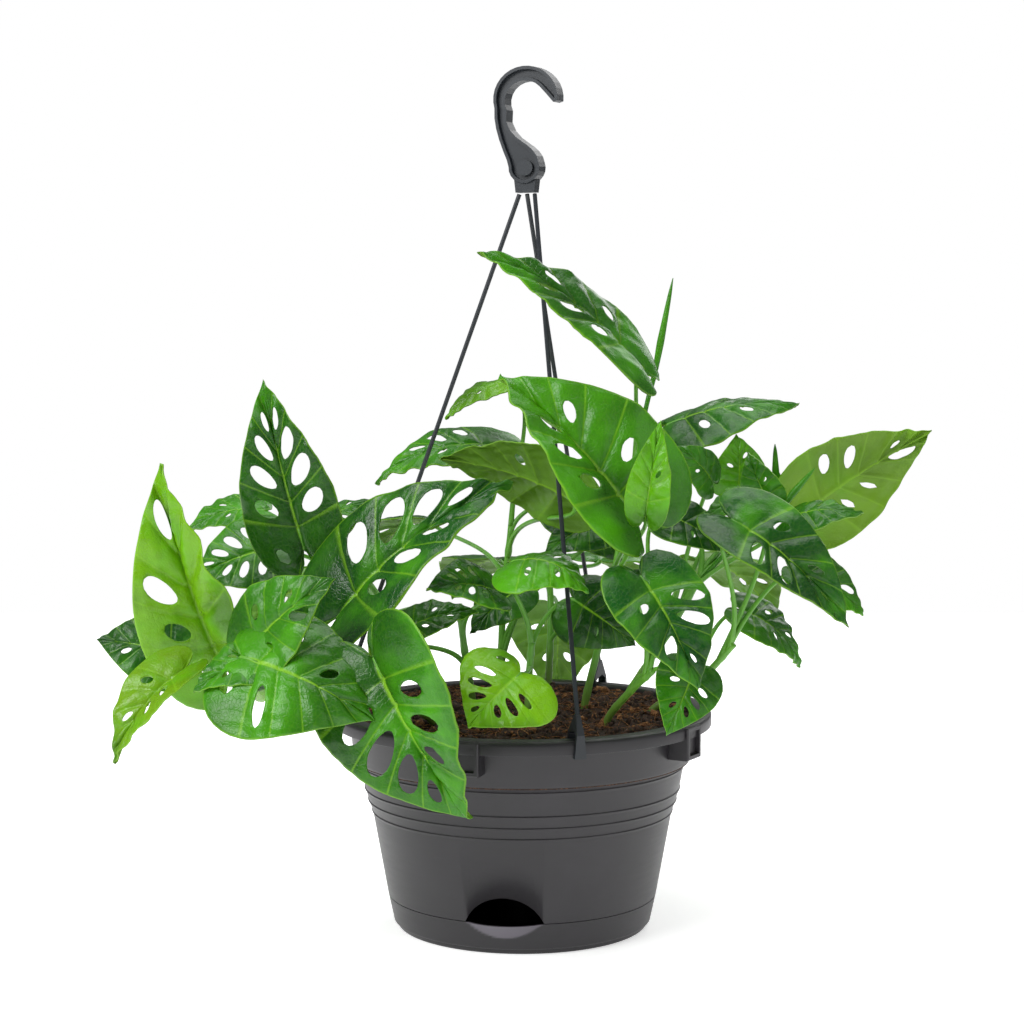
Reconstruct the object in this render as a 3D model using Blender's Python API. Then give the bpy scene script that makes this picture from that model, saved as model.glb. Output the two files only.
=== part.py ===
# A Swiss cheese vine (Monstera adansonii) in a black plastic hanging pot: pot, clip-on saucer, soil,
# a moulded hanger (hook and three strands with rim clips) and eleven rooted, leafy stems.
# Lengths are millimetres until a mesh is made. +Z is up, the viewer stands at -Y, and the origin is
# the middle of the saucer's underside.

import math

import bmesh
import bpy
from mathutils import Matrix, Vector
from mathutils.geometry import delaunay_2d_cdt, intersect_point_tri_2d

MM = 0.001
ROUND_SEGMENTS = 36
FIT_GAP = 0.35

# Pot, outside radii and heights above the saucer's underside.
RIM_RADIUS = 135.0
RIM_MOUTH_RADIUS = 121.5
RIM_TOP = 155.0
LIP_HEIGHT = 9.5
WALL = 2.0
BAND_TOP_RADIUS = 124.0
BAND_FOOT = (119.0, 120.5)
RIB_STEPS = ((117.5, 115.8), (100.5, 112.6), (92.0, 110.2), (84.0, 107.4))
RIB_HEIGHT = 1.0
SEAM_RADIUS = 96.2
SEAM_HEIGHT = 22.5
POT_FLOOR = 43.0
FLOOR_THICKNESS = 2.5
WELL_RADIUS = 22.0

# Saucer under the pot, with its filling spout and the half-moon mouth above it.
SAUCER_FOOT_RADIUS = 89.5
SAUCER_BASE_RADIUS = 92.2
SAUCER_BASE_HEIGHT = 4.0
SAUCER_FLOOR = 3.0
MOUTH_AZIMUTH = -7.7
MOUTH_HALF_WIDTH = 27.0
MOUTH_RISE = 18.7
SPOUT_REACH = 6.6
SPOUT_DROP = 11.0

# Ears under the rim.
EAR_AZIMUTHS = (-17.0, 60.0, 180.0, 232.0)
EAR_WIDTH = 21.0
EAR_FOOT = 131.0
EAR_FACE_RADIUS = 136.6
EAR_RECESS = 3.0

# Soil.
SOIL_EDGE_HEIGHT = 150.0
SOIL_CROWN_HEIGHT = 157.0
SOIL_BUMP = 1.6
STEM_HOLE_DEPTH = 22.0

# Hanger: the hook stands turned a little about Z, and its collar carries three strands.
HOOK_X = 3.5
HOOK_TURN = -25.0
HOOK_WIDEN = 1.1
HOOK_THICKNESS = 11.0
HOOK_RECESS = 3.2
HOOK_BORDER = 2.2
CROOK_CENTRE = (0.5, 586.2)
CROOK_RADIUS = 22.4
CROOK_GAP_CENTRE = (0.2, 584.5)
CROOK_GAP_RADIUS = 14.0
BOSS_CENTRE = (-0.3, 538.2)
BOSS_RADIUS = 10.8
PAD_RADIUS = 5.6
COLLAR_SIZE = (15.0, 8.0, 9.0)
COLLAR_FOOT = 521.0
STRAND_RADIUS = 1.6
STRAND_SPACING = 5.9
STRAND_AZIMUTHS = {"left": -104.0, "back": 153.0, "front": 16.0}
CLIP_TOP = 171.0
CLIP_WIDTH = 7.8

# The viewer's eye, for places read off the photograph: a point is a column, a row and a depth in mm
# behind (+) or before (-) the pot's axis.
EYE_DISTANCE = 1660.0
EYE_HEIGHT = 441.0
EYE_X = -7.4
EYE_PITCH = math.radians(5.0)
FOCAL_PIXELS = 2344.0
PICTURE_MIDDLE = 512.0


def at(column, row, depth):
    """The point in millimetres that the photograph shows at a column and row, at a depth along Y."""
    right = (column - PICTURE_MIDDLE) / FOCAL_PIXELS
    up = (PICTURE_MIDDLE - row) / FOCAL_PIXELS
    forward = math.cos(EYE_PITCH) + up * math.sin(EYE_PITCH)
    rise = up * math.cos(EYE_PITCH) - math.sin(EYE_PITCH)
    reach = (EYE_DISTANCE + depth) / forward
    return Vector((EYE_X + right * reach, depth, EYE_HEIGHT + rise * reach))


# Blades. Half an outline, as (along, across) in lengths of the blade from its seat to its tip.
HALF_OUTLINE = (
    (0.0, 0.0), (-0.09, 0.045), (-0.155, 0.13), (-0.14, 0.26), (-0.03, 0.385), (0.15, 0.44),
    (0.36, 0.415), (0.56, 0.325), (0.74, 0.205), (0.88, 0.095), (0.955, 0.03), (1.0, 0.0),
)
VEIN_ROOTS = (0.0, 0.13, 0.28, 0.43, 0.58, 0.74, 1.0)
LOBE_SHARE = 0.40
BLADE_THICKNESS = 0.8
OUTLINE_POINTS = 10
HOLE_POINTS = 5
PETIOLE_RADIUS = 1.7
STEM_RADIUS = 2.8

# Holes of a half blade: (cell between side veins, start and end across the blade, share of its width).
HOLES = {
    "none": (),
    "slit": ((2, 0.30, 0.62, 0.35),),
    "few": ((1, 0.30, 0.60, 0.42), (3, 0.26, 0.62, 0.45)),
    "some": ((1, 0.30, 0.66, 0.48), (2, 0.24, 0.74, 0.52), (3, 0.26, 0.70, 0.50)),
    "many": ((0, 0.42, 0.66, 0.30), (1, 0.28, 0.72, 0.55), (2, 0.22, 0.80, 0.58), (3, 0.22, 0.78, 0.58),
             (4, 0.28, 0.70, 0.50)),
    "wide": ((1, 0.26, 0.78, 0.62), (2, 0.22, 0.86, 0.70), (3, 0.22, 0.84, 0.72), (4, 0.30, 0.76, 0.60)),
    "tall": ((0, 0.16, 0.40, 0.40), (1, 0.24, 0.60, 0.50), (2, 0.30, 0.84, 0.60), (4, 0.18, 0.84, 0.85)),
    "big_one": ((1, 0.30, 0.56, 0.40), (3, 0.24, 0.84, 0.85)),
    "two_long": ((0, 0.36, 0.64, 0.40), (1, 0.30, 0.86, 0.42)),
    "long_two": ((1, 0.26, 0.90, 0.50), (2, 0.22, 0.92, 0.55), (4, 0.30, 0.60, 0.35)),
    "tip_big": ((1, 0.28, 0.60, 0.26), (2, 0.28, 0.66, 0.26), (4, 0.14, 0.82, 0.90)),
    "three_slim": ((1, 0.36, 0.76, 0.42), (2, 0.24, 0.74, 0.45), (4, 0.26, 0.56, 0.36)),
}

# Each stem: its foot on the soil, then the points that it passes, in millimetres.
STEMS = {
    "vine_far_left": ((-82, -14), ((-104, -20, 175), (-134, -30, 188))),
    "vine_front_left": ((-62, -62), ((-80, -86, 172), (-108, -104, 186))),
    "vine_high_left": ((-58, 22), ((-84, 16, 196), (-104, 4, 232))),
    "vine_centre_left": ((-34, -34), ((-40, -44, 200), (-44, -50, 236))),
    "vine_centre": ((4, -74), ((4, -78, 186), (6, -82, 214))),
    "vine_top": ((44, -14), ((58, -16, 220), (74, -10, 300), (84, 0, 350))),
    "vine_back_middle": ((-16, 50), ((-14, 58, 220), (-8, 62, 280))),
    "vine_high_right": ((76, 38), ((104, 34, 200), (128, 28, 244))),
    "vine_front_right": ((58, -62), ((72, -76, 178), (88, -90, 196))),
    "vine_low_right": ((92, -16), ((122, -24, 176), (148, -34, 206))),
    "vine_back": ((20, 84), ((22, 100, 210), (20, 112, 250))),
}


def leaf(stem, seat, tip, face, wide=1.0, arch=0.1, fold=10.0, twist=0.0, holes=("some", "some"), rise=0.5):
    """One leaf: where its blade sits and ends, which way its upper side faces, its width against
    the plain outline, the arch of its midrib, the lift of its halves, its twist, the holes left and
    right of the midrib, and how far up the stem its stalk leaves."""
    return {
        "stem": stem, "seat": at(*seat), "tip": at(*tip), "face": Vector(face), "wide": wide,
        "arch": arch, "fold": math.radians(fold), "twist": math.radians(twist), "holes": holes, "rise": rise,
    }


LEAVES = (
    leaf("vine_far_left", (226, 668, -50), (160, 463, -88), (-0.35, -0.93, 0.10), 0.72, 0.08, 34, 0,
         ("tall", "none"), 0.9),
    leaf("vine_far_left", (182, 655, -14), (97, 640, -6), (-0.1, -0.8, 0.5), 1.1, 0.08, 6, 0,
         ("few", "slit"), 0.7),
    leaf("vine_far_left", (184, 670, -96), (115, 764, -118), (-0.62, -0.70, 0.35), 0.78, 0.12, 26, 0,
         ("some", "few"), 0.6),
    leaf("vine_front_left", (248, 652, -130), (335, 578, -154), (-0.2, -0.8, 0.55), 0.98, 0.08, 10, 0,
         ("few", "big_one"), 0.9),
    leaf("vine_front_left", (276, 656, -140), (193, 692, -156), (-0.1, -0.55, 0.83), 0.95, 0.10, 8, 0,
         ("few", "slit"), 0.8),
    leaf("vine_front_left", (242, 657, -150), (374, 721, -172), (0.0, -0.80, 0.60), 1.18, 0.12, -4, 0,
         ("few", "two_long"), 0.7),
    leaf("vine_front_left", (373, 657, -158), (471, 820, -182), (-0.62, -0.75, 0.22), 1.08, 0.07, 24, 0,
         ("some", "wide"), 0.5),
    leaf("vine_high_left", (304, 548, -34), (263, 379, -44), (-0.20, -0.95, 0.12), 0.68, 0.06, 14, 0,
         ("many", "wide"), 0.9),
    leaf("vine_high_left", (312, 532, 6), (380, 501, 22), (0.0, -0.42, 0.9), 0.9, 0.12, -10, 0,
         ("few", "slit"), 0.9),
    leaf("vine_high_left", (262, 510, 40), (186, 534, 26), (0.1, -0.4, 0.9), 0.9, 0.14, 4, 0,
         ("slit", "slit"), 0.8),
    leaf("vine_high_left", (282, 546, -2), (190, 580, -16), (0.0, -0.75, 0.65), 1.12, 0.08, 6, 0,
         ("some", "many"), 0.7),
    leaf("vine_centre_left", (338, 617, -80), (514, 483, -92), (-0.18, -0.62, 0.76), 0.80, 0.10, 20, 0,
         ("wide", "some"), 0.8),
    leaf("vine_centre_left", (493, 590, -92), (426, 590, -120), (-0.1, -0.66, 0.74), 1.12, 0.1, 12, 0,
         ("some", "some"), 0.7),
    leaf("vine_centre_left", (404, 630, -92), (479, 612, -84), (0.0, -0.5, 0.85), 0.8, 0.1, 8, 0,
         ("slit", "few"), 0.3),
    leaf("vine_back_middle", (502, 447, 66), (375, 484, 58), (-0.1, -0.42, 0.9), 0.75, 0.14, 8, 0,
         ("slit", "some"), 0.9),
    leaf("vine_centre", (520, 674, -150), (468, 728, -170), (-0.05, -0.80, 0.58), 1.68, 0.08, 6, 0,
         ("some", "many"), 0.3),
    leaf("vine_centre", (514, 561, -122), (588, 594, -140), (0.1, -0.42, 0.9), 1.3, 0.2, -8, 0,
         ("slit", "few"), 0.9),
    leaf("vine_centre", (574, 600, -66), (636, 646, -62), (-0.1, -0.9, 0.4), 1.15, 0.1, -6, 0,
         ("none", "slit"), 0.8),
    leaf("vine_top", (634, 516, -104), (499, 376, -84), (0.44, -0.78, 0.45), 1.0, 0.07, 30, 0,
         ("some", "few"), 0.35),
    leaf("vine_top", (638, 363, -62), (477, 252, -74), (-0.1, -0.42, 0.9), 0.5, 0.08, 6, -14,
         ("some", "few"), 0.85),
    leaf("vine_top", (646, 514, -134), (661, 420, -140), (-0.2, -0.95, 0.1), 0.56, 0.06, 14, 0,
         ("none", "slit"), 0.2),
    leaf("vine_back_middle", (575, 501, -20), (438, 458, -6), (0.05, 0.75, 0.65), 0.8, 0.08, 8, 0,
         ("slit", "none"), 0.8),
    leaf("vine_back_middle", (508, 382, 60), (446, 420, 48), (-0.3, -0.3, 0.9), 0.8, 0.12, 0, 0,
         ("slit", "none"), 1.0),
    leaf("vine_back_middle", (606, 520, 36), (545, 552, 26), (-0.1, -0.8, 0.55), 1.0, 0.1, 6, 0,
         ("none", "slit"), 0.2),
    leaf("vine_back_middle", (520, 588, 30), (470, 634, 18), (-0.2, -0.8, 0.5), 0.95, 0.1, 6, 0,
         ("slit", "none"), 0.1),
    leaf("vine_high_right", (668, 424, 34), (799, 406, 26), (0.0, -0.36, 0.93), 0.9, 0.08, -12, 0,
         ("slit", "few"), 1.0),
    leaf("vine_high_right", (804, 512, 34), (932, 431, 20), (-0.1, 0.93, 0.35), 0.84, 0.05, 4, 0,
         ("tip_big", "three_slim"), 0.8),
    leaf("vine_front_right", (641, 577, -138), (698, 691, -160), (0.4, -0.8, 0.42), 1.06, 0.08, 14, 0,
         ("long_two", "big_one"), 0.8),
    leaf("vine_front_right", (694, 670, -122), (666, 736, -146), (0.1, -0.95, 0.22), 1.05, 0.08, 6, 0,
         ("some", "few"), 0.5),
    leaf("vine_front_right", (664, 514, -40), (729, 554, -42), (0.3, -0.75, 0.6), 0.9, 0.1, 6, 0,
         ("none", "slit"), 0.9),
    leaf("vine_low_right", (732, 520, -88), (848, 628, -112), (0.25, -0.72, 0.64), 0.74, 0.1, 18, 0,
         ("few", "long_two"), 0.9),
    leaf("vine_low_right", (800, 568, -34), (864, 616, -44), (0.3, -0.75, 0.58), 0.85, 0.1, 8, 0,
         ("big_one", "slit"), 0.9),
    leaf("vine_high_right", (786, 519, -12), (863, 515, -30), (0.0, -0.55, 0.82), 0.8, 0.12, -10, 0,
         ("slit", "none"), 0.6),
    leaf("vine_low_right", (762, 502, -48), (704, 516, -60), (0.0, -0.62, 0.78), 0.9, 0.12, 6, 0,
         ("slit", "few"), 0.8),
    leaf("vine_high_right", (712, 482, -26), (674, 446, -40), (0.0, -0.8, 0.6), 0.95, 0.12, 6, 0,
         ("slit", "none"), 0.5),
    leaf("vine_high_right", (738, 488, 10), (736, 434, 8), (0.3, -0.9, 0.2), 1.3, 0.1, 4, 0,
         ("slit", "few"), 0.7),
    leaf("vine_high_right", (768, 500, -4), (748, 452, -8), (-0.4, -0.8, 0.4), 1.0, 0.14, 20, 0,
         ("none", "slit"), 0.8),
    leaf("vine_back", (612, 470, 96), (560, 430, 128), (-0.1, 0.5, 0.85), 0.95, 0.1, 8, 0,
         ("few", "few"), 1.0),
    leaf("vine_back", (600, 560, 128), (640, 590, 196), (0.3, 0.6, 0.7), 1.0, 0.14, 8, 0,
         ("few", "few"), 0.8),
    leaf("vine_back", (500, 560, 132), (452, 600, 192), (-0.3, 0.65, 0.65), 1.05, 0.14, 8, 0,
         ("few", "few"), 0.7),
    leaf("vine_back", (560, 610, 150), (556, 700, 196), (0.0, 0.9, 0.4), 1.0, 0.1, 8, 0,
         ("few", "few"), 0.6),
    leaf("vine_high_right", (700, 560, 96), (776, 620, 150), (0.5, 0.6, 0.6), 1.0, 0.12, 8, 0,
         ("few", "few"), 0.3),
    leaf("vine_high_left", (330, 575, 72), (250, 640, 120), (-0.5, 0.6, 0.6), 1.0, 0.12, 8, 0,
         ("few", "few"), 0.4),
    leaf("vine_back_middle", (430, 520, 96), (372, 560, 150), (-0.3, 0.5, 0.8), 0.95, 0.12, 8, 0,
         ("few", "slit"), 0.6),
    leaf("vine_low_right", (742, 610, 10), (800, 668, 16), (0.55, -0.5, 0.65), 0.95, 0.14, 6, 0,
         ("few", "slit"), 0.4),
    leaf("vine_back_middle", (562, 500, 52), (622, 564, 46), (-0.1, -0.62, 0.78), 1.0, 0.1, 6, 0,
         ("none", "slit"), 0.92),
    leaf("vine_back", (596, 618, 70), (652, 570, 60), (0.0, -0.7, 0.7), 0.95, 0.1, 6, 0,
         ("none", "slit"), 0.3),
)

# Rolled new leaves: stem, foot and tip.
SPIKES = (
    ("vine_top", at(654, 376, 2), at(673, 278, 4)),
    ("vine_high_right", at(776, 486, 30), at(775, 444, 32)),
    ("vine_high_right", at(782, 506, 6), at(815, 468, 10)),
)
SPIKE_RADIUS = 2.7

MATERIALS = {
    "pot_plastic": ((0.035, 0.036, 0.040), 0.48),
    "hanger_plastic": ((0.030, 0.034, 0.040), 0.38),
    "soil": ((0.085, 0.040, 0.022), 0.95),
    "foliage": ((0.075, 0.300, 0.030), 0.40),
}


def clear_scene():
    for obj in list(bpy.data.objects):
        bpy.data.objects.remove(obj)


def make_materials():
    made = {}
    for name, (colour, roughness) in MATERIALS.items():
        material = bpy.data.materials.new(name)
        material.use_nodes = True
        shader = material.node_tree.nodes["Principled BSDF"]
        shader.inputs["Base Color"].default_value = (*colour, 1.0)
        shader.inputs["Roughness"].default_value = roughness
        shader.inputs["Metallic"].default_value = 0.0
        made[name] = material
    return made


def add_object(name, form, material):
    """Turns a bmesh in millimetres into an object in metres."""
    bmesh.ops.scale(form, vec=(MM, MM, MM), verts=form.verts)
    bmesh.ops.recalc_face_normals(form, faces=form.faces)
    mesh = bpy.data.meshes.new(name)
    form.to_mesh(mesh)
    form.free()
    mesh.shade_smooth()
    mesh.set_sharp_from_angle(angle=math.radians(35))
    obj = bpy.data.objects.new(name, mesh)
    bpy.context.scene.collection.objects.link(obj)
    obj.data.materials.append(material)
    return obj


def combine(obj, others, operation, solver="EXACT"):
    """Joins or cuts obj with the others in one Boolean, applies it and removes the others."""
    group = bpy.data.collections.new(obj.name + "_parts")
    bpy.context.scene.collection.children.link(group)
    for other in others:
        bpy.context.scene.collection.objects.unlink(other)
        group.objects.link(other)
    modifier = obj.modifiers.new(operation.lower(), "BOOLEAN")
    modifier.operation = operation
    modifier.operand_type = "COLLECTION"
    modifier.collection = group
    modifier.solver = solver
    bpy.context.view_layer.update()
    graph = bpy.context.evaluated_depsgraph_get()
    mesh = bpy.data.meshes.new_from_object(obj.evaluated_get(graph))
    obj.modifiers.clear()
    obj.data = mesh
    for other in list(group.objects):
        bpy.data.objects.remove(other)
    bpy.data.collections.remove(group)
    return obj


def lathe(profile, segments=ROUND_SEGMENTS):
    """Turns a closed outline of (radius, height) points about Z."""
    form = bmesh.new()
    points = [form.verts.new((radius, 0.0, height)) for radius, height in profile]
    closed = len(profile) > 2 and min(radius for radius, _ in profile) > 0
    edges = [form.edges.new(pair) for pair in zip(points, points[1:])]
    if closed:
        edges.append(form.edges.new((points[-1], points[0])))
    bmesh.ops.spin(form, geom=points + edges, cent=(0, 0, 0), axis=(0, 0, 1),
                   angle=math.tau, steps=segments, use_merge=True)
    bmesh.ops.remove_doubles(form, verts=form.verts, dist=0.01)
    return form


def prism(outline, low, high, place):
    """Extrudes a flat outline from low to high; place turns (u, v, height) into a point."""
    form = bmesh.new()
    rings = [[form.verts.new(place(u, v, level)) for u, v in outline] for level in (low, high)]
    form.faces.new(rings[0][::-1])
    form.faces.new(rings[1])
    for i in range(len(outline)):
        j = (i + 1) % len(outline)
        form.faces.new((rings[0][i], rings[0][j], rings[1][j], rings[1][i]))
    return form


def radial(azimuth):
    """A place function for shapes drawn in (radius, height) and spread sideways, at an azimuth
    counted from the viewer towards +X."""
    angle = math.radians(azimuth)
    out = Vector((math.sin(angle), -math.cos(angle), 0))
    side = Vector((math.cos(angle), math.sin(angle), 0))

    def place(radius, height, across):
        return out * radius + side * across + Vector((0, 0, height))

    return place


def tube(points, radii, sides):
    """A round bar along points, its ends capped."""
    form = bmesh.new()
    rings = []
    across = None
    for i, point in enumerate(points):
        ahead = points[min(i + 1, len(points) - 1)] - points[max(i - 1, 0)]
        ahead = ahead.normalized()
        if across is None:
            across = ahead.cross(Vector((0.3, 1.0, 0.2))).normalized()
        across = (across - ahead * across.dot(ahead)).normalized()
        other = ahead.cross(across)
        turn = [math.tau * k / sides for k in range(sides)]
        rings.append([form.verts.new(point + (across * math.cos(a) + other * math.sin(a)) * radii[i]) for a in turn])
    for low, high in zip(rings, rings[1:]):
        for k in range(sides):
            form.faces.new((low[k], low[(k + 1) % sides], high[(k + 1) % sides], high[k]))
    form.faces.new(rings[0][::-1])
    form.faces.new(rings[-1])
    return form


def bezier(a, b, c, d, count):
    """Points along a cubic curve, ends included."""
    found = []
    for i in range(count + 1):
        t = i / count
        s = 1 - t
        found.append(a * s**3 + b * 3 * s * s * t + c * 3 * s * t * t + d * t**3)
    return found


def pot_wall_radius(height):
    """The outside radius of the plain taper below the ribs."""
    top_height, top_radius = RIB_STEPS[-1]
    share = (height - SEAM_HEIGHT) / (top_height - SEAM_HEIGHT)
    return SEAM_RADIUS + share * (top_radius - SEAM_RADIUS)


def make_pot(material):
    outer = [(RIM_MOUTH_RADIUS, RIM_TOP), (RIM_RADIUS - 2.2, RIM_TOP), (RIM_RADIUS, RIM_TOP - 2.2),
             (RIM_RADIUS, RIM_TOP - LIP_HEIGHT), (RIM_RADIUS - WALL, RIM_TOP - LIP_HEIGHT),
             (RIM_RADIUS - WALL, RIM_TOP - 4.0), (BAND_TOP_RADIUS, RIM_TOP - 4.0),
             (BAND_FOOT[1] - 0.8, BAND_FOOT[0] + 2.5)]
    for height, radius in RIB_STEPS:
        outer += [(radius, height), (radius + 0.5, height - RIB_HEIGHT), (radius - 0.4, height - 2.2 * RIB_HEIGHT)]
    outer += [(SEAM_RADIUS, SEAM_HEIGHT), (SEAM_RADIUS - WALL, SEAM_HEIGHT),
              (pot_wall_radius(POT_FLOOR) - WALL, POT_FLOOR)]
    well = [(WELL_RADIUS, POT_FLOOR), (WELL_RADIUS, SAUCER_FLOOR + FIT_GAP), (0.0, SAUCER_FLOOR + FIT_GAP),
            (0.0, SAUCER_FLOOR + FIT_GAP + WALL), (WELL_RADIUS - WALL, SAUCER_FLOOR + FIT_GAP + WALL),
            (WELL_RADIUS - WALL, POT_FLOOR + FLOOR_THICKNESS)]
    floor_top = POT_FLOOR + FLOOR_THICKNESS
    inner = [(pot_wall_radius(floor_top) - WALL, floor_top), (RIB_STEPS[-1][1] - 3.0, RIB_STEPS[-1][0]),
             (BAND_FOOT[1] - 5.2, BAND_FOOT[0]), (RIM_MOUTH_RADIUS - 0.6, RIM_TOP - 6.0)]
    # The turned outline starts and ends on the axis, so it is written from the well outwards.
    profile = well[3:] + inner + outer + well[:3]
    pot = add_object("pot", lathe(profile), material)
    ears = []
    for azimuth in EAR_AZIMUTHS:
        place = radial(azimuth)
        half = EAR_WIDTH / 2
        block = [(RIM_RADIUS - 16.0, RIM_TOP - 1.2), (EAR_FACE_RADIUS, RIM_TOP - 1.2),
                 (EAR_FACE_RADIUS, EAR_FOOT + 1.5), (EAR_FACE_RADIUS - 1.5, EAR_FOOT),
                 (RIM_RADIUS - 16.0, EAR_FOOT)]
        ears.append(add_object("ear", prism(block, -half, half, place), material))
    combine(pot, ears, "UNION")
    cutters = []
    for azimuth in EAR_AZIMUTHS:
        place = radial(azimuth)
        half = EAR_WIDTH / 2 - 3.0
        pocket = [(EAR_FACE_RADIUS - EAR_RECESS, RIM_TOP - 6.0), (EAR_FACE_RADIUS + 5.0, RIM_TOP - 6.0),
                  (EAR_FACE_RADIUS + 5.0, EAR_FOOT + 3.0), (EAR_FACE_RADIUS - EAR_RECESS, EAR_FOOT + 3.0)]
        cutters.append(add_object("ear_pocket", prism(pocket, -half, half, place), material))
    cutters.append(make_mouth_cutter(material))
    return combine(pot, cutters, "DIFFERENCE")


def make_mouth_cutter(material):
    """The half-moon mouth: the part of a round bar above the seam, pushed through the wall."""
    radius = (MOUTH_HALF_WIDTH**2 + MOUTH_RISE**2) / (2 * MOUTH_RISE)
    centre = SEAM_HEIGHT + MOUTH_RISE - radius
    opening = math.asin(MOUTH_HALF_WIDTH / radius)
    count = 14
    arc = [-opening + 2 * opening * i / count for i in range(count + 1)]
    outline = [(radius * math.sin(a), centre + radius * math.cos(a)) for a in arc]
    outline += [(MOUTH_HALF_WIDTH, SEAM_HEIGHT - 3.0), (-MOUTH_HALF_WIDTH, SEAM_HEIGHT - 3.0)]
    place = radial(MOUTH_AZIMUTH)
    form = prism(outline, SEAM_RADIUS - 14.0, SEAM_RADIUS + 20.0, lambda u, v, w: place(w, v, u))
    return add_object("mouth_cutter", form, material)


def spout_reach(azimuth, height):
    """How far the saucer's wall swells out at an azimuth and height, to form the filling spout."""
    across = math.radians(azimuth - MOUTH_AZIMUTH) * SEAM_RADIUS / MOUTH_HALF_WIDTH
    down = (SEAM_HEIGHT - height) / SPOUT_DROP
    return SPOUT_REACH * max(0.0, 1 - across * across) * max(0.0, 1 - down) if down >= 0 else 0.0


def make_saucer(material):
    """Rings of points round the saucer, from the middle of its underside over the wall to its floor."""
    top = SEAM_HEIGHT - FIT_GAP
    spout_foot = SEAM_HEIGHT - SPOUT_DROP
    grade = (SEAM_RADIUS - SAUCER_BASE_RADIUS) / (SEAM_HEIGHT - SAUCER_BASE_HEIGHT)
    wall = [(SAUCER_BASE_RADIUS + grade * (z - SAUCER_BASE_HEIGHT), z)
            for z in (spout_foot, spout_foot + 3.6, spout_foot + 7.2, top)]
    outside = [(SAUCER_FOOT_RADIUS, 0.0), (SAUCER_FOOT_RADIUS + 0.6, 3.2), (SAUCER_BASE_RADIUS, SAUCER_BASE_HEIGHT)]
    rings = [(r, z, 1.0) for r, z in outside + wall]
    rings += [(r - WALL, z, 1.0) for r, z in wall[::-1]] + [(SAUCER_BASE_RADIUS - WALL - 1.5, SAUCER_FLOOR, 0.0)]
    form = bmesh.new()
    azimuths = [360.0 * k / ROUND_SEGMENTS for k in range(ROUND_SEGMENTS)]
    # The spout needs closer points than the rest of the wall.
    azimuths = sorted(azimuths + [MOUTH_AZIMUTH % 360 + d for d in (-14, -10, -6, -2, 2, 6)])
    layers = []
    for radius, height, share in rings:
        layer = []
        for azimuth in azimuths:
            nearest = (azimuth - MOUTH_AZIMUTH + 180) % 360 - 180 + MOUTH_AZIMUTH
            swell = share * spout_reach(nearest, min(height, SEAM_HEIGHT))
            layer.append(form.verts.new(radial(azimuth)(radius + swell, height, 0.0)))
        layers.append(layer)
    for low, high in zip(layers, layers[1:]):
        for k in range(len(azimuths)):
            j = (k + 1) % len(azimuths)
            form.faces.new((low[k], low[j], high[j], high[k]))
    for layer, height in ((layers[0], 0.0), (layers[-1], SAUCER_FLOOR)):
        middle = form.verts.new((0, 0, height))
        for k in range(len(azimuths)):
            form.faces.new((layer[k], layer[(k + 1) % len(azimuths)], middle))
    return add_object("saucer", form, material)


def soil_height(x, y):
    """A low crown with uneven lumps."""
    share = min(1.0, math.hypot(x, y) / RIM_MOUTH_RADIUS)
    crown = SOIL_EDGE_HEIGHT + (SOIL_CROWN_HEIGHT - SOIL_EDGE_HEIGHT) * (1 - share**3)
    lumps = math.sin(x * 0.11 + 1.3) * math.cos(y * 0.13) + 0.6 * math.sin(x * 0.23 - y * 0.19)
    return crown + SOIL_BUMP * lumps * (1 - share**6)


def make_soil(material):
    """A filling of the pot and its well, with a hole for each stem."""
    gap = FIT_GAP + 0.15
    floor_top = POT_FLOOR + FLOOR_THICKNESS + gap
    well_floor = SAUCER_FLOOR + FIT_GAP + WALL + gap
    segments = 28
    shrink = math.cos(math.pi / ROUND_SEGMENTS)
    sides = [(WELL_RADIUS - WALL - gap - 0.3, well_floor), (WELL_RADIUS - WALL - gap - 0.3, floor_top),
             ((pot_wall_radius(floor_top) - WALL - gap) * shrink - 0.6, floor_top),
             ((RIB_STEPS[-1][1] - 3.0 - gap) * shrink - 0.4, RIB_STEPS[-1][0]),
             ((BAND_FOOT[1] - 5.2 - gap) * shrink - 0.4, BAND_FOOT[0]),
             (117.2, SOIL_EDGE_HEIGHT - 6.0), (115.8, SOIL_EDGE_HEIGHT)]
    form = bmesh.new()
    layers = []
    for radius, height in sides:
        layers.append([form.verts.new(radial(360 * k / segments)(radius, height, 0)) for k in range(segments)])
    for radius in (98.0, 76.0, 52.0, 26.0):
        layer = []
        for k in range(segments):
            point = radial(360 * k / segments)(radius, 0, 0)
            point.z = soil_height(point.x, point.y)
            layer.append(form.verts.new(point))
        layers.append(layer)
    for low, high in zip(layers, layers[1:]):
        for k in range(segments):
            j = (k + 1) % segments
            form.faces.new((low[k], low[j], high[j]))
            form.faces.new((low[k], high[j], high[k]))
    for layer, height in ((layers[0], well_floor), (layers[-1], soil_height(0, 0))):
        middle = form.verts.new((0, 0, height))
        for k in range(segments):
            form.faces.new((layer[k], layer[(k + 1) % segments], middle))
    soil = add_object("soil", form, material)
    cutters = []
    for (x, y), _ in STEMS.values():
        top = Vector((x, y, RIM_TOP + 12.0))
        foot = Vector((x, y, soil_height(x, y) - STEM_HOLE_DEPTH))
        cutters.append(add_object("stem_hole", tube([foot, top], [STEM_RADIUS + 0.6] * 2, 10), material))
    return combine(soil, cutters, "DIFFERENCE")


def arc_points(centre, radius, start, end, count):
    """Points on a circle between two angles in degrees."""
    angles = [math.radians(start + (end - start) * i / count) for i in range(count + 1)]
    return [(centre[0] + radius * math.cos(a), centre[1] + radius * math.sin(a)) for a in angles]


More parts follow.
